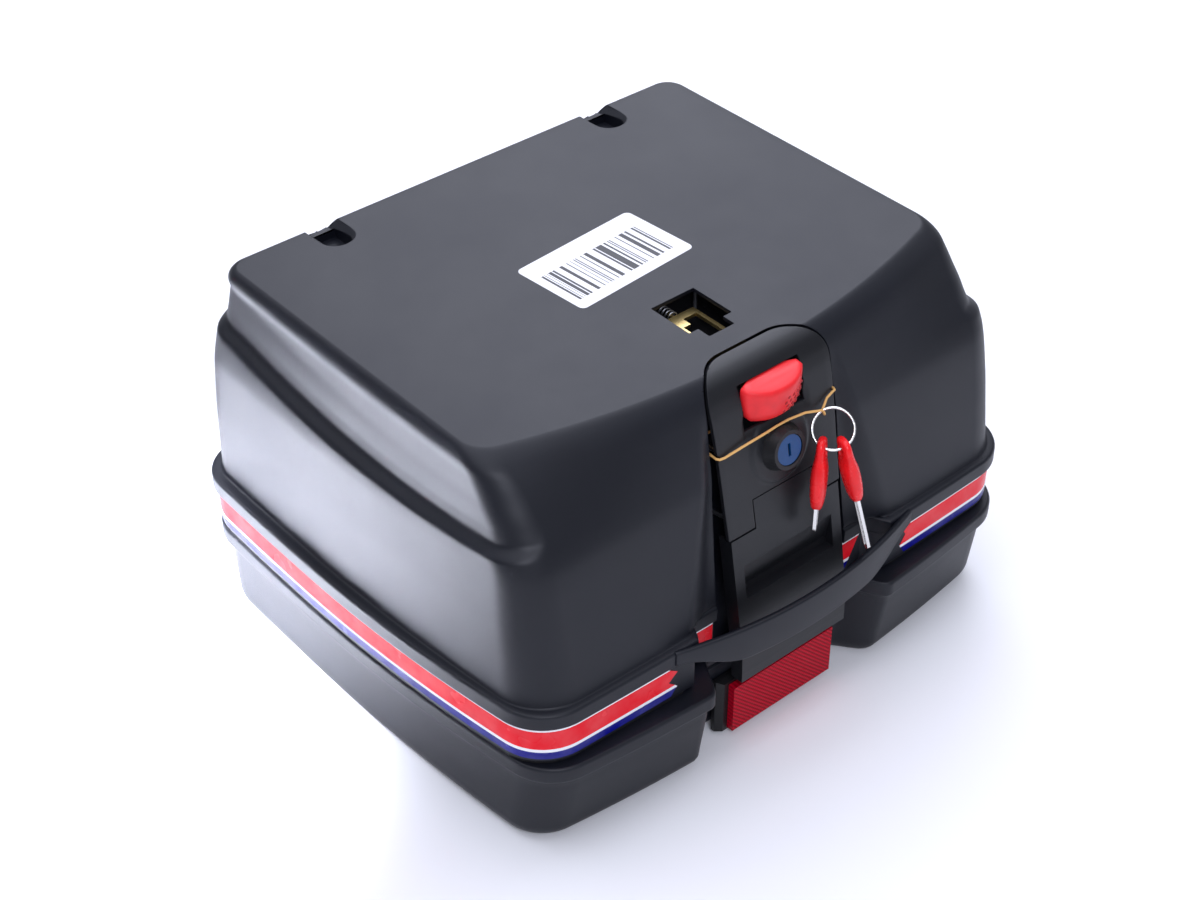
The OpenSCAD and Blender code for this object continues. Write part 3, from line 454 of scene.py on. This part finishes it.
def moulded_plastic(name, color, rough, grain=0.25, wear=0.08):
    """Grained plastic: fine bumps, slow changes of gloss, and sparse pale specks."""
    p = Paint(name, color, rough, 0.0, Specular_IOR_Level=0.36)
    fine = p.noise(2600, 2, 0.6)
    slow = p.noise(9, 3, 0.55)
    mid = p.noise(60, 4, 0.6)
    p.set("Roughness", rough - 0.05 + slow * 0.12 + mid * 0.05)
    speck = p.node("TexVoronoi", 0, Vector=p.place(), Scale=70.0)
    keep_some = p.noise(30, 1, 0.5).smooth(0.66, 0.72)
    dust = (1 - speck.smooth(0.012, 0.035)) * keep_some * wear
    tint = p.mix(slow.smooth(0.35, 0.7), tuple(c * 0.92 for c in color), tuple(c * 1.1 for c in color))
    p.set("Base Color", p.mix(dust, tint, (0.5, 0.5, 0.52)))
    p.bump(fine * 0.6 + mid * 0.25, grain, 0.00035)
    return p.mat


def dress(ob, mat, body, replaces):
    """Material, the body that carries the piece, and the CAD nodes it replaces."""
    ob.data.materials.clear()
    ob.data.materials.append(mat)
    ob.data.polygons.foreach_set("material_index", [0] * len(ob.data.polygons))
    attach(ob, body)
    if replaces:
        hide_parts(*replaces)
    return ob


shell_mat = moulded_plastic("shell_plastic", (0.0045, 0.0055, 0.0100), 0.42)
dress(base_shell, shell_mat, "base", ["base_shell"])

# ---------------------------------------------------------------------------------------
# Carry handle: a thin bar moulded in one piece with the flange. It bows out in front of the
# valley, gets deeper towards the middle and leaves room for the fingers behind it.

HANDLE_HW, BOW, THICK, EDGE_R = 103.5, 16.3, 4.5, 1.6
stations = np.linspace(-HANDLE_HW, HANDLE_HW, 61)
quarter = np.linspace(0, math.pi / 2, 4)
top = 117.0
verts = []
for x in stations:
    out = RIM_F - BOW * (1 - (x / 103.0) ** 2)
    low = 91.0 + 15.0 * float(sstep(52, 101, abs(x)))
    near_y, far_y, low_z, top_z = out + EDGE_R, out + THICK - EDGE_R, low + EDGE_R, top - EDGE_R
    for q, (cy, cz) in enumerate(((far_y, top_z), (near_y, top_z), (near_y, low_z), (far_y, low_z))):
        turn = quarter + q * math.pi / 2
        verts += [(x, cy + EDGE_R * math.cos(a), cz + EDGE_R * math.sin(a)) for a in turn]
handle = mesh_object("base_handle", verts, tube_faces(len(stations), 16))
shade(soften(handle, 0.6, 2, 60), 35)
dress(handle, shell_mat, "base", [])

# ---------------------------------------------------------------------------------------
# Lid shell: the shallow half, moulded in the same plastic, with a rim that meets the base
# and a rib inside it that locates the two halves.


def lid_ring(ins, valley, back=0.0):
    """Lid outline; back moves its front further in, as the wall has more draft there."""
    valley = (valley[0] - back, *valley[1:])
    return full_ring(half_ring(223.0, 20 - back, RIM_F - 11.5 + back, 13, RIM_R + 0.5, 36, 36, valley, ins))


lip_v, wall_v, in_v, throat_v = (30.0, 58.0, 80.0), (26.5, 59.0, 82.0), (29.0, 62, 90), (18.5, 84, 92)
LID_TOP = SPLIT - 1.3
CROWN, TAPER, DRAFT = 14.0, 1.5, 4.5
HINGE_X = 110.0
levels = [(lid_ring(5 + TAPER + CROWN, wall_v, DRAFT), 0.0)]
for a in np.linspace(0.12, 1, 10) * math.pi / 2:
    levels.append((lid_ring(5 + TAPER + CROWN * (1 - math.sin(a)), wall_v, DRAFT), CROWN * (1 - math.cos(a))))
for t in (0.2, 0.4, 0.6, 0.8, 1.0):
    levels.append((lid_ring(5.0 + TAPER * (1 - t), wall_v, DRAFT * (1 - t)), CROWN + 38 * t))
levels += [(lid_ring(4.6, wall_v), 57.0), (lid_ring(3.4, wall_v), 60.0)]
LIP = [(1.9, 61.6), (0.7, 62.2), (0.1, 63.2), (0.0, 64.5), (0.0, 71.4), (0.4, 72.7), (1.4, LID_TOP)]
levels += [(lid_ring(ins, lip_v), z) for ins, z in LIP]
lid_shell = mesh_object("lid_shell_skin", *shell_loft(levels))
rib = mesh_object("rib", *shell_loft([(flange_ring(7.0, (14.5, 80, 88)), z) for z in (66.0, 80.7)]))
combine(lid_shell, [rib], "UNION")
inner = [(lid_ring(ins, in_v), z) for ins, z in ((26.0, WALL), (17.0, 8.0), (13.6, 16.0), (8.0, 58.0))]
inner += [(flange_ring(10.0, throat_v), z) for z in (63.0, 120.0)]
combine(lid_shell, [mesh_object("lid_in", *shell_loft(inner))])
combine(lid_shell, [block("gap", (-60, -400, LID_TOP), (60, -115, 200))])
combine(lid_shell, [block("hz", (x - 15.5, 171.5, 66.0), (x + 15.5, 200, 100)) for x in (-HINGE_X, HINGE_X)])
soften(lid_shell, 0.6, 2, 38)
shade(lid_shell, 40, True)
dress(lid_shell, shell_mat, "lid", ["lid_shell"])

# ---------------------------------------------------------------------------------------
# Hinge knuckles: one on the base between two on the lid, at each side of the back. They are
# moulded with the shells, and a steel pin runs through all three.

HINGE_Y, HINGE_Z, KNUCKLE_R, PIN_BORE = 180.5, 74.5, 6.0, 2.6
BASE_HALF, LID_HALF, SIDE_GAP = 15.0, 7.0, 0.5


def knuckle(name, mid, half, up):
    """Barrel with a bore, and a web that runs up or down into the wall."""
    x0, x1 = mid - half, mid + half
    web, side = (22.0, 1) if up else (-11.5, -1)
    ob = extrude(name, circle(KNUCKLE_R, 40, HINGE_Y, HINGE_Z), (1, 0, 0), x0, x1, side_yz)
    fillet = [(KNUCKLE_R - 0.1, 0), (4.6, side * 7), (2.4, web), (-14, web), (-14, side * 3), (-4, 0)]
    fillet = [(HINGE_Y + y, HINGE_Z + z) for y, z in fillet]
    combine(ob, [extrude("w", fillet, (1, 0, 0), x0 + 0.01, x1 - 0.01, side_yz)], "UNION")
    combine(ob, [extrude("p", circle(PIN_BORE, 40, HINGE_Y, HINGE_Z), (1, 0, 0), x0 - 5, x1 + 5, side_yz)])
    return shade(soften(ob, 0.4, 2, 40), 35)


for cx, hand in ((-HINGE_X, "left"), (HINGE_X, "right")):
    dress(knuckle(f"base_knuckle_{hand}", cx, BASE_HALF, True), shell_mat, "base", [])
    for k, t in ((1, -1), (2, 1)):
        mid = cx + t * (BASE_HALF + SIDE_GAP + LID_HALF)
        dress(knuckle(f"lid_knuckle_{hand}_{k}", mid, LID_HALF, False), shell_mat, "lid", [])

# ---------------------------------------------------------------------------------------
# Small pieces that keep their CAD shape: turned pins, screws and lock parts, the stamped
# slider and cam, the moulded cover, housing and tongue, and the rubber seal and band.

def steel(name, color, rough, scale=900):
    p = Paint(name, color, rough, 1.0)
    streak = p.noise(scale, 3, 0.6)
    p.set("Roughness", rough + streak * 0.16)
    p.set("Base Color", p.mix(p.noise(40, 3), tuple(c * 0.85 for c in color), color))
    p.bump(streak, 0.12, 0.0002)
    return p.mat


zinc = steel("zinc_steel", (0.56, 0.57, 0.60), 0.3)
yellow_zinc = steel("yellow_zinc", (0.78, 0.60, 0.26), 0.28)
nickel = steel("nickel_steel", (0.78, 0.77, 0.75), 0.16)
trim_mat = moulded_plastic("trim_plastic", (0.006, 0.006, 0.007), 0.38)
panel_mat = moulded_plastic("panel_plastic", (0.007, 0.0075, 0.0095), 0.36, 0.2)
seal_mat = moulded_plastic("seal_rubber", (0.010, 0.010, 0.010), 0.7)


def red_plastic(name, color, rough):
    p = Paint(name, color, rough, 0.0, Specular_IOR_Level=0.35)
    slow = p.noise(120, 3)
    p.set("Base Color", p.mix(slow.smooth(0.3, 0.7), tuple(c * 0.88 for c in color), color))
    p.set("Roughness", rough - 0.04 + slow * 0.1)
    p.bump(p.noise(1800, 2), 0.08, 0.0002)
    return p.mat


button_mat = red_plastic("button_red", (0.86, 0.020, 0.026), 0.36)
key_mat = red_plastic("key_red", (0.90, 0.014, 0.018), 0.26)
blue_mat = red_plastic("cap_blue", (0.002, 0.055, 0.19), 0.3)
band_mat = moulded_plastic("band_rubber", (0.70, 0.40, 0.13), 0.5)

FINISH = {
    zinc: ("reflector_screws", "tongue_screws", "hinge_pin_left", "hinge_pin_right", "cover_screws",
           "panel_screws", "lock_nut", "lock_plug", "cam_screw"),
    yellow_zinc: ("latch_slider", "lock_cam"),
    nickel: ("key_ring",),
    trim_mat: ("reflector_housing", "mechanism_cover", "lock_barrel"),
    panel_mat: ("lid_tongue",),
    seal_mat: ("rim_seal",),
    blue_mat: ("plug_cap",),
    band_mat: ("rubber_band",),
}


def paint_node(name, mat):
    me = NODES[name].data
    me.materials.clear()
    me.materials.append(mat)


for mat, names in FINISH.items():
    for name in names:
        paint_node(name, mat)

# ---------------------------------------------------------------------------------------
# Latch spring: a coil of drawn steel wire between the slider's post and the cover, built at the length of the
# spring's CAD box.

WIRE, COILS, TRAVEL, SIDES = 0.5, 5, 5.0, 10
lo, hi = (np.array(c) * 1000 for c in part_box("latch_spring"))
coil_r = (hi[0] - lo[0]) / 2 - WIRE
turn = np.linspace(0, 2 * math.pi * COILS, COILS * 24 + 1)
out = np.stack([np.cos(turn), np.zeros(len(turn)), np.sin(turn)], 1)
path = (lo + hi) / 2 + coil_r * out
path[:, 1] = np.linspace(lo[1] + WIRE, hi[1] - WIRE, len(turn))
along = np.gradient(path, axis=0)
along /= np.linalg.norm(along, axis=1)[:, None]
across = np.cross(along, out)
round_wire = np.arange(SIDES) * 2 * math.pi / SIDES
c, q = np.cos(round_wire)[None, :, None], np.sin(round_wire)[None, :, None]
section = c * out[:, None] + q * across[:, None]
verts = (path[:, None] + WIRE * section).reshape(-1, 3)
faces = tube_faces(len(turn), SIDES)
coil = shade(mesh_object("latch_spring_coil", verts, faces), 50)
dress(coil, zinc, "base", ["latch_spring"])
length = hi[1] - lo[1] - 2 * WIRE
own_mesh(coil)

# ---------------------------------------------------------------------------------------
# Lock panel: a separate arched plate set into the front, flush with it. It rolls over onto
# the mounting face; a hollow above the button leaves room for a thumb, and a low collar
# runs round the lock. Four hidden screws hold it from inside.


def arc_length(path):
    return np.concatenate([[0], np.cumsum(np.linalg.norm(np.diff(path, axis=0), axis=1))])


ROLL = np.array([
    [-162, 140], [-157, 152], [-154, 163], [-148.6, 190], [-144.1, 214], [-140.4, 231], [-136.6, 246],
    [-132.9, 255.5], [-128.2, 261.5], [-121.5, 265.2], [-114, 266.1], [-104, 266.2], [-96, 266.2],
])      # (y, z) of the panel's face from its foot to the mounting face
run_s = arc_length(ROLL)
grid_s = np.linspace(0, run_s[-1], 132)
py = blur(grid_s, np.column_stack([run_s, ROLL[:, 0]]), 2.4)
pz = blur(grid_s, np.column_stack([run_s, ROLL[:, 1]]), 2.4)
dy, dz = np.gradient(py), np.gradient(pz)
ln = np.hypot(dy, dz)
ny, nz = -dz / ln, dy / ln
LOCK_Z, COLLAR, THUMB_Z, PANEL_T = 209.0, 24.0, 229.0, 3.2
grid_x = np.linspace(-54, 54, 91)
X, K = np.meshgrid(grid_x, np.arange(len(grid_s)))
Zp, Yp, NY, NZ = pz[K], py[K], ny[K], nz[K]
along = grid_s[K]
s_lock, s_thumb = (np.interp(z, pz[:100], grid_s[:100]) for z in (LOCK_Z, THUMB_Z))
r_lock = np.hypot(X, along - s_lock)
r_thumb = np.hypot(X * 0.96, np.maximum(along - s_thumb, 0))
hollow = 4.4 * (1 - sstep(22.5, 27.5, r_thumb)) * sstep(s_thumb - 12, s_thumb + 20, along)
collar = 1.6 * (1 - sstep(COLLAR - 1.6, COLLAR + 0.8, r_lock))
lift = collar * (1 - sstep(s_thumb - 6, s_thumb + 6, along)) - hollow - 0.25 * sstep(44, 50, np.abs(X))
front = np.stack([X, Yp + NY * lift, Zp + NZ * lift], 2)
back = np.stack([X, Yp - NY * PANEL_T, Zp - NZ * PANEL_T], 2)
nu, nv = len(grid_x), len(grid_s)
verts = np.concatenate([front.reshape(-1, 3), back.reshape(-1, 3)])
half_n = nu * nv
faces = []
for b in range(nv - 1):
    for a in range(nu - 1):
        q = (b * nu + a, b * nu + a + 1, (b + 1) * nu + a + 1, (b + 1) * nu + a)
        faces += [q, tuple(half_n + t for t in q[::-1])]
rim = list(range(nu)) + [b * nu + nu - 1 for b in range(1, nv)]
rim += [(nv - 1) * nu + a for a in range(nu - 2, -1, -1)] + [b * nu for b in range(nv - 2, 0, -1)]
for i in range(len(rim)):
    a, b = rim[i], rim[(i + 1) % len(rim)]
    faces.append((b, a, a + half_n, b + half_n))
lock_panel = mesh_object("lock_panel_plate", verts, faces)
combine(lock_panel, [arch_prism("arch", PANEL_HW, 46.5, 0)], "INTERSECT")
cuts = [block("below", (-80, -300, 100), (80, 0, 163.6)), block("step", (-25.6, -300, 100), (25.6, 0, 183.0)),
        block("window", (-25, -200, 228.5), (25, -122.5, 257.5))]
lean = math.radians(10.6)
lock_dir = (0, -math.cos(lean), math.sin(lean))


def lock_frame(u, v):
    """Point in the lock's face plane: u to the right, v up."""
    return (u, -144.94 + v * math.sin(lean), LOCK_Z + v * math.cos(lean))


cuts.append(extrude("bore", circle(13.6, 40), lock_dir, -20, 20, lock_frame))
for notch_x, notch_z in ((-49.7, 221.4), (49.7, 226.0)):
    cuts.append(extrude("n", circle(2.4, 12, notch_x, notch_z), (0, 1, 0), -200, -100, lambda u, v: (u, 0, v)))
combine(lock_panel, cuts)
soften(lock_panel, 0.5, 2, 40)
shade(lock_panel, 38, True)
dress(lock_panel, panel_mat, "base", ["lock_panel"])

# ---------------------------------------------------------------------------------------
# Release button: a glossy red D-shaped thumb piece whose top stands proud of the panel,
# with a patch of small grip dots on its face. It slides straight in.

BUTTON_BACK = -137.6
BUTTON = [
    (230.6, -142.3, 14.0), (231.0, -143.4, 16.0), (232.0, -144.6, 18.3), (234.0, -145.6, 20.4),
    (237.0, -146.4, 22.0), (241.0, -147.1, 23.1), (246.0, -147.7, 23.7), (250.0, -148.0, 23.8),
    (252.4, -147.8, 23.7), (253.6, -146.9, 23.2), (254.2, -145.2, 22.4), (254.6, -141.0, 20.6),
]       # height, y of the face in the middle, half width


def button_face(x, w, yc):
    return BUTTON_BACK + (yc - BUTTON_BACK) * (1 - abs(x / w) ** 2.4)


verts = []
for z, yc, w in BUTTON:
    upper = sstep(236, 254, z)
    across = np.linspace(-w, w, 29)
    verts += [(x, button_face(x, w, yc), z + 1.6 * upper * (abs(x) / 24) ** 2) for x in across]
    stem = ((w, -133.0), (w * 0.5, -128.0), (-w * 0.5, -128.0), (-w, -133.0))
    verts += [(x, y, z + 2.2 * upper) for x, y in stem]
faces = tube_faces(len(BUTTON), 33)
button = mesh_object("release_button_thumb", verts, faces)
shade(button, 50)
dots = []
for row in range(4):
    for col in range(5):
        u, v = 1.5 + col * 4.2 + (row % 2) * 2.1, 234.6 + row * 3.4
        if u < 21.5 - max(0, 238 - v) * 0.9:
            z, yc, w = np.array([BUTTON[k] for k in (1, 3, 4, 5, 6)]).T
            dots.append((u, button_face(u, np.interp(v, z, w), np.interp(v, z, yc)), v))


def scatter(name, points, make, mat, props):
    """One small shape on each point, by a node group with its size as an input."""
    host = mesh_object(name, points, [])
    tree = bpy.data.node_groups.new(name, "GeometryNodeTree")
    tree.interface.new_socket("Geometry", in_out="INPUT", socket_type="NodeSocketGeometry")
    for k, v in props.items():
        tree.interface.new_socket(k, in_out="INPUT", socket_type="NodeSocketFloat").default_value = v
    tree.interface.new_socket("Geometry", in_out="OUTPUT", socket_type="NodeSocketGeometry")
    gin, gout = tree.nodes.new("NodeGroupInput"), tree.nodes.new("NodeGroupOutput")
    on = tree.nodes.new("GeometryNodeInstanceOnPoints")
    real, setm = tree.nodes.new("GeometryNodeRealizeInstances"), tree.nodes.new("GeometryNodeSetMaterial")
    shape = make(tree, gin)
    tree.links.new(gin.outputs["Geometry"], on.inputs["Points"])
    tree.links.new(shape, on.inputs["Instance"])
    tree.links.new(on.outputs[0], real.inputs[0])
    tree.links.new(real.outputs[0], setm.inputs["Geometry"])
    setm.inputs["Material"].default_value = mat
    tree.links.new(setm.outputs[0], gout.inputs[0])
    m = host.modifiers.new("nodes", "NODES")
    m.node_group = tree
    return apply_all(host)


def bead(tree, gin):
    ball, squeeze = tree.nodes.new("GeometryNodeMeshUVSphere"), tree.nodes.new("GeometryNodeTransform")
    ball.inputs["Segments"].default_value, ball.inputs["Rings"].default_value = 10, 6
    tree.links.new(gin.outputs["Radius"], ball.inputs["Radius"])
    squeeze.inputs["Scale"].default_value = (1, 0.45, 1)
    tree.links.new(ball.outputs[0], squeeze.inputs[0])
    return squeeze.outputs[0]


# The grip dots get a darker red than the button: painted shade, so the small bumps read as dimples.
dot_shade_mat = red_plastic("button_dot_painted_shade", (0.42, 0.008, 0.012), 0.4)
dress(button, button_mat, "button", ["release_button"])
grip = scatter("release_button_dots", dots, bead, dot_shade_mat, {"Radius": 0.0012})
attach(shade(grip, 60), "button")

# ---------------------------------------------------------------------------------------
# Keys: flat steel blades with a milled groove and cut teeth, moulded into rounded red
# plastic heads. Both hang from the split ring by the hole in their heads.

RING_C, RING_R = Vector((33.5, -157.5, 212)), 13.0
E1, E2 = Vector((0.758, -0.652, 0)), Vector((0.403, 0.469, 0.786))      # the ring's plane
HEAD = [
    (7.4, 2.4, 1.4), (7.0, 4.6, 2.1), (5.6, 6.8, 2.8), (2.6, 8.0, 3.1), (-1.5, 8.3, 3.3), (-5.0, 8.5, 3.6),
    (-8.5, 8.9, 4.2), (-13.0, 9.6, 5.0), (-19.0, 9.7, 5.2), (-25.0, 9.2, 5.1), (-30.0, 8.4, 4.8), (-34.5, 7.2, 4.3),
    (-38.0, 5.4, 3.5), (-39.6, 3.4, 2.4),
]       # place along the head, half width, half thickness
CUTS = (1.0, 1.7, 0.8, 1.4)      # depths of the blade's teeth
GROOVE_FACES = [(0, 1, 2, 3), (7, 6, 5, 4), (0, 4, 5, 1), (1, 5, 6, 2), (2, 6, 7, 3), (3, 7, 4, 0)]


def key_frame(angle, down):
    """Place function of a key that hangs at that angle of the ring, along down."""
    a = math.radians(angle)
    at = RING_C + RING_R * (math.cos(a) * E1 + math.sin(a) * E2)
    d = Vector(down).normalized()
    t = -math.sin(a) * E1 + math.cos(a) * E2
    t = (t - d * d.dot(t)).normalized()
    xa = (-d).cross(t)
    return lambda x, y, z: tuple(at + xa * x - d * (y - 1.6) + t * z)


def key_head(name, place):
    """Rounded oval body, thinner at the lug, by rings of a superellipse."""
    n, verts = 28, []
    for y, w, t in HEAD:
        for k in range(n):
            a = 2 * math.pi * k / n
            c, q = math.cos(a), math.sin(a)
            verts.append(place(w * math.copysign(abs(c) ** 0.8, c), y, t * math.copysign(abs(q) ** 0.8, q)))
    head = mesh_object(name, verts, tube_faces(len(HEAD), n))
    hole = [place(x, y, z) for z in (-9, 9) for x, y in circle(4.1, n)]
    socket = ((-4.4, -34), (4.4, -34), (4.4, -60), (-4.4, -60))
    slot = [place(x, y, z) for z in (-1.4, 1.4) for x, y in socket]
    combine(head, [mesh_object("hole", hole, tube_faces(2, n)), mesh_object("slot", slot, tube_faces(2, 4))])
    soften(head, 0.35, 2, 50)
    return shade(head, 45)


def key_blade(name, place, length):
    """Flat blade: one straight edge, one cut edge, and a groove along each side."""
    y0, y1 = -34.2, -34.0 - length
    outline = [(3.9, y0)]
    if length > 30:
        for k, y in enumerate(np.arange(y0 - 7, y1 + 5, -4.2)):
            cut = 3.9 - CUTS[k % 4]
            outline += [(3.9, y), (cut, y - 1.2), (cut, y - 2.4), (3.9, y - 3.4)]
    outline += [(3.9, y1 + 3), (1.0, y1), (-1.2, y1), (-3.9, y1 + 2.5), (-3.9, y0)]
    n = len(outline)
    faces = [tuple(range(n)), tuple(range(n, 2 * n))[::-1]]
    faces += [(i, (i + 1) % n, n + (i + 1) % n, n + i) for i in range(n)]
    blade = mesh_object(name, [place(x, y, z) for z in (-1.1, 1.1) for x, y in outline], faces)
    groove = [(-1.2, y0 + 5), (0.6, y0 + 5), (0.6, y1 + 4), (-1.2, y1 + 4)]
    for z in (-1.3, 1.3):
        v = [place(x, y, z + t) for t in (-0.55, 0.55) for x, y in groove]
        combine(blade, [mesh_object("groove", v, GROOVE_FACES)])
    soften(blade, 0.15, 1, 40)
    return shade(blade, 30)


for i, angle, down, length in ((1, -122, (-0.196, -0.17, -0.966), 21), (2, -58, (0.169, -0.176, -0.97), 46)):
    place = key_frame(angle, down)
    dress(key_head(f"key_head_{i}_grip", place), key_mat, f"key_{i}", [f"key_head_{i}"])
    dress(key_blade(f"key_blade_{i}_cut", place, length), nickel, f"key_{i}", [f"key_blade_{i}"])

# ---------------------------------------------------------------------------------------
# Reflector lens: a red acrylic block with fine diagonal prism ribs behind its face. The ribs also put lighter and
# darker red bands into its colour: painted glints and painted shade of the prism facets.

p = Paint("lens_red", (0.30, 0.002, 0.012), 0.2, 0.0, Specular_IOR_Level=0.06)
x, y, z = p.axes()
rib_glint_a = ((x * 1900 + z * 1900).sin() * 0.5 + 0.5)
rib_glint_b = ((x * 1900 - z * 1900).sin() * 0.5 + 0.5)
# Colour runs from dark to bright red with the rib pattern: painted glints and painted shade of the facets.
p.set("Base Color", p.mix(rib_glint_a * 0.7 + rib_glint_b * 0.3, (0.17, 0.0005, 0.006), (0.62, 0.002, 0.022)))
p.bump(rib_glint_a + rib_glint_b * 0.4, 0.5, 0.0004)
paint_node("reflector_lens", p.mat)

# ---------------------------------------------------------------------------------------
# Stripes: printed film, stuck round the base's skirt. White, red, white and blue bands
# whose heights come from the object's own Z. The lettering of the print is left out.

Z0, Z1, FILM = SPLIT + 4, 103.5, 0.00015
p = Paint("stripe_film", (0.6, 0.02, 0.05), 0.3, 0.0, Specular_IOR_Level=0.16)
x, y, z = p.axes()
h = z * 1000
red, white, blue = (0.80, 0.001, 0.012), (0.86, 0.86, 0.88), (0.003, 0.004, 0.20)
col = p.mix(h > 84.6, blue, white)
col = p.mix(h > 87.0, col, red)
col = p.mix(h > 101.6, col, white)
p.set("Base Color", p.mix(p.noise(50, 3).smooth(0.3, 0.75) * 0.05, col, (0.9, 0.88, 0.88)))
p.set("Roughness", 0.2 + p.noise(30, 3) * 0.12)
stripe_mat = p.mat


def stripe(name, path, start_cut, end_cut, body_node):
    """Film along a plan path. The cuts shift each end along the path by height."""
    s = arc_length(path)
    n_s, n_z = 150, 25
    verts = []
    for z in np.linspace(Z0, Z1, n_z):
        f = (z - Z0) / (Z1 - Z0)
        for t in np.linspace(start_cut(f), s[-1] - end_cut(f), n_s):
            verts.append((np.interp(t, s, path[:, 0]), np.interp(t, s, path[:, 1]), z))
    faces = [(k * n_s + i, k * n_s + i + 1, (k + 1) * n_s + i + 1, (k + 1) * n_s + i)
             for k in range(n_z - 1) for i in range(n_s - 1)]
    ob = mesh_object(name, verts, faces)
    m = ob.modifiers.new("t", "SOLIDIFY")
    m.thickness, m.offset = FILM, 0
    apply_all(ob)
    shade(ob, 30)
    return dress(ob, stripe_mat, "base", [body_node])


skirt = half_ring(225.5, 20, RIM_F, 4, RIM_R, 37, 36, (14.5, 76.0, 85.0), 2.8, n=(160, 24, 60, 20, 30))
front_x, rear = skirt[:, 0], (skirt[:, 1] > 170) & (skirt[:, 0] < 160)
run = skirt[np.argmax(front_x > 97.0):np.argmax(rear)]
piece = skirt[np.argmax(front_x > 56.5):np.argmax(front_x > 74.5)]


def straight(f):
    return 0.0


def zigzag(f):
    return 14 * abs((f * 2.0) % 1.0 - 0.5) * (0.7 + 0.6 * f)


def notch(f):
    return 10 * abs((f * 1.6) % 1.0 - 0.5)


def slant(f):
    return 12 * (1 - f)


stripe("stripe_right_film", run, notch, straight, "stripe_right")
stripe("stripe_left_film", run * [-1, 1], zigzag, straight, "stripe_left")
stripe("stripe_valley_right_film", piece, straight, slant, "stripe_valley_right")
stripe("stripe_valley_left_film", piece * [-1, 1], straight, straight, "stripe_valley_left")

# ---------------------------------------------------------------------------------------
# Stock label: white self-adhesive paper with a printed bar pattern and no digits.

LABEL_X, LABEL_Y, LABEL_R, SKEW = -2.5, RIM_F + 183, 4.0, math.radians(4.5)
ca, sa = math.cos(SKEW), math.sin(SKEW)
outline = []
for q, (cx, cy) in enumerate(((46, 26), (-46, 26), (-46, -26), (46, -26))):
    for a in np.linspace(0, math.pi / 2, 6) + q * math.pi / 2:
        outline.append((cx + LABEL_R * math.cos(a), cy + LABEL_R * math.sin(a)))
label = extrude("stock_label_paper", outline, (0, 0, 1), CASE_H - 0.1, CASE_H + 0.16,
                lambda u, v: (LABEL_X + u * ca - v * sa, LABEL_Y + u * sa + v * ca, 0))
p = Paint("label_paper", (0.8, 0.8, 0.82), 0.5)
x, y, z = p.axes()
u = (x * 1000 - LABEL_X) * ca + (y * 1000 - LABEL_Y) * sa
v = (y * 1000 - LABEL_Y) * ca - (x * 1000 - LABEL_X) * sa
thin = p.node("TexWhiteNoise", 0, {"noise_dimensions": "1D"}, W=(u * 1.15).floor())
wide = p.node("TexWhiteNoise", 0, {"noise_dimensions": "1D"}, W=(u * 0.62).floor() + 71.0)
printed = (u > -44.0) * (u < 40.0) * (v > -21.0) * (v < 14.0)
ink = (thin > 0.46) * (wide > 0.25) * printed
paper = p.mix(p.noise(25, 3), (0.74, 0.74, 0.77), (0.86, 0.86, 0.88))
p.set("Base Color", p.mix(ink, paper, (0.03, 0.03, 0.035)))
p.set("Roughness", 0.45 + p.noise(200, 2) * 0.1)
dress(label, p.mat, "base", ["stock_label"])

# ---------------------------------------------------------------------------------------
# Studio: a plain white floor under a wide ceiling panel, with a softbox behind on the right, a
# small key light in front on the left, and a narrow wash on the floor beside the left side,
# which that side mirrors. The camera looks down from the front left.

me = bpy.data.meshes.new("floor")
me.from_pydata([(-6, -6, 0), (6, -6, 0), (6, 6, 0), (-6, 6, 0)], [], [(0, 1, 2, 3)])
floor = bpy.data.objects.new("floor", me)
bpy.context.scene.collection.objects.link(floor)
p = Paint("floor_white", (0.93, 0.93, 0.94), 0.9, 0.0, Specular_IOR_Level=0.1)
p.set("Base Color", p.mix(p.noise(3, 1), (0.92, 0.92, 0.93), (0.94, 0.94, 0.95)))
floor.data.materials.append(p.mat)


def area(name, loc, target, size, power, color=(1, 1, 1)):
    data = bpy.data.lights.new(name, "AREA")
    data.shape, data.size, data.size_y, data.energy, data.color = "RECTANGLE", size[0], size[1], power, color
    ob = bpy.data.objects.new(name, data)
    ob.location = loc
    ob.rotation_euler = (Vector(target) - Vector(loc)).to_track_quat("-Z", "Y").to_euler()
    bpy.context.scene.collection.objects.link(ob)
    return ob


COOL = (0.92, 0.95, 1.10)
area("ceiling_panel", (0.3, 1.0, 3.0), (0.3, 0.9, 0), (4.6, 3.6), 105, COOL)
area("back_softbox", (1.45, 1.65, 1.75), (0, 0, 0.2), (1.8, 1.3), 24, COOL)
area("front_key", (-0.95, -1.5, 1.7), (0, -0.1, 0.12), (0.7, 0.7), 20, COOL)
wash = area("left_floor_wash", (-1.0, 0.72, 1.3), (-0.47, 0.28, 0.0), (0.25, 0.35), 13, COOL)
wash.data.spread = math.radians(15)
world = bpy.data.worlds.new("studio")
bpy.context.scene.world = world
world.use_nodes = True
world.node_tree.nodes["Background"].inputs[0].default_value = (0.94, 0.96, 1.06, 1)
world.node_tree.nodes["Background"].inputs[1].default_value = 0.36

cam = bpy.data.cameras.new("camera")
cam.lens, cam.sensor_width, cam.clip_start = 63.465, 36, 0.02
cam_ob = bpy.data.objects.new("camera", cam)
cam_ob.location = (-0.7395, -0.8391, 0.9993)
look = Vector((-0.0146, 0.0045, 0.1235)) - Vector(cam_ob.location)
cam_ob.rotation_euler = look.to_track_quat("-Z", "Y").to_euler()
bpy.context.scene.collection.objects.link(cam_ob)
bpy.context.scene.camera = cam_ob
bpy.context.scene.view_settings.view_transform = "Standard"
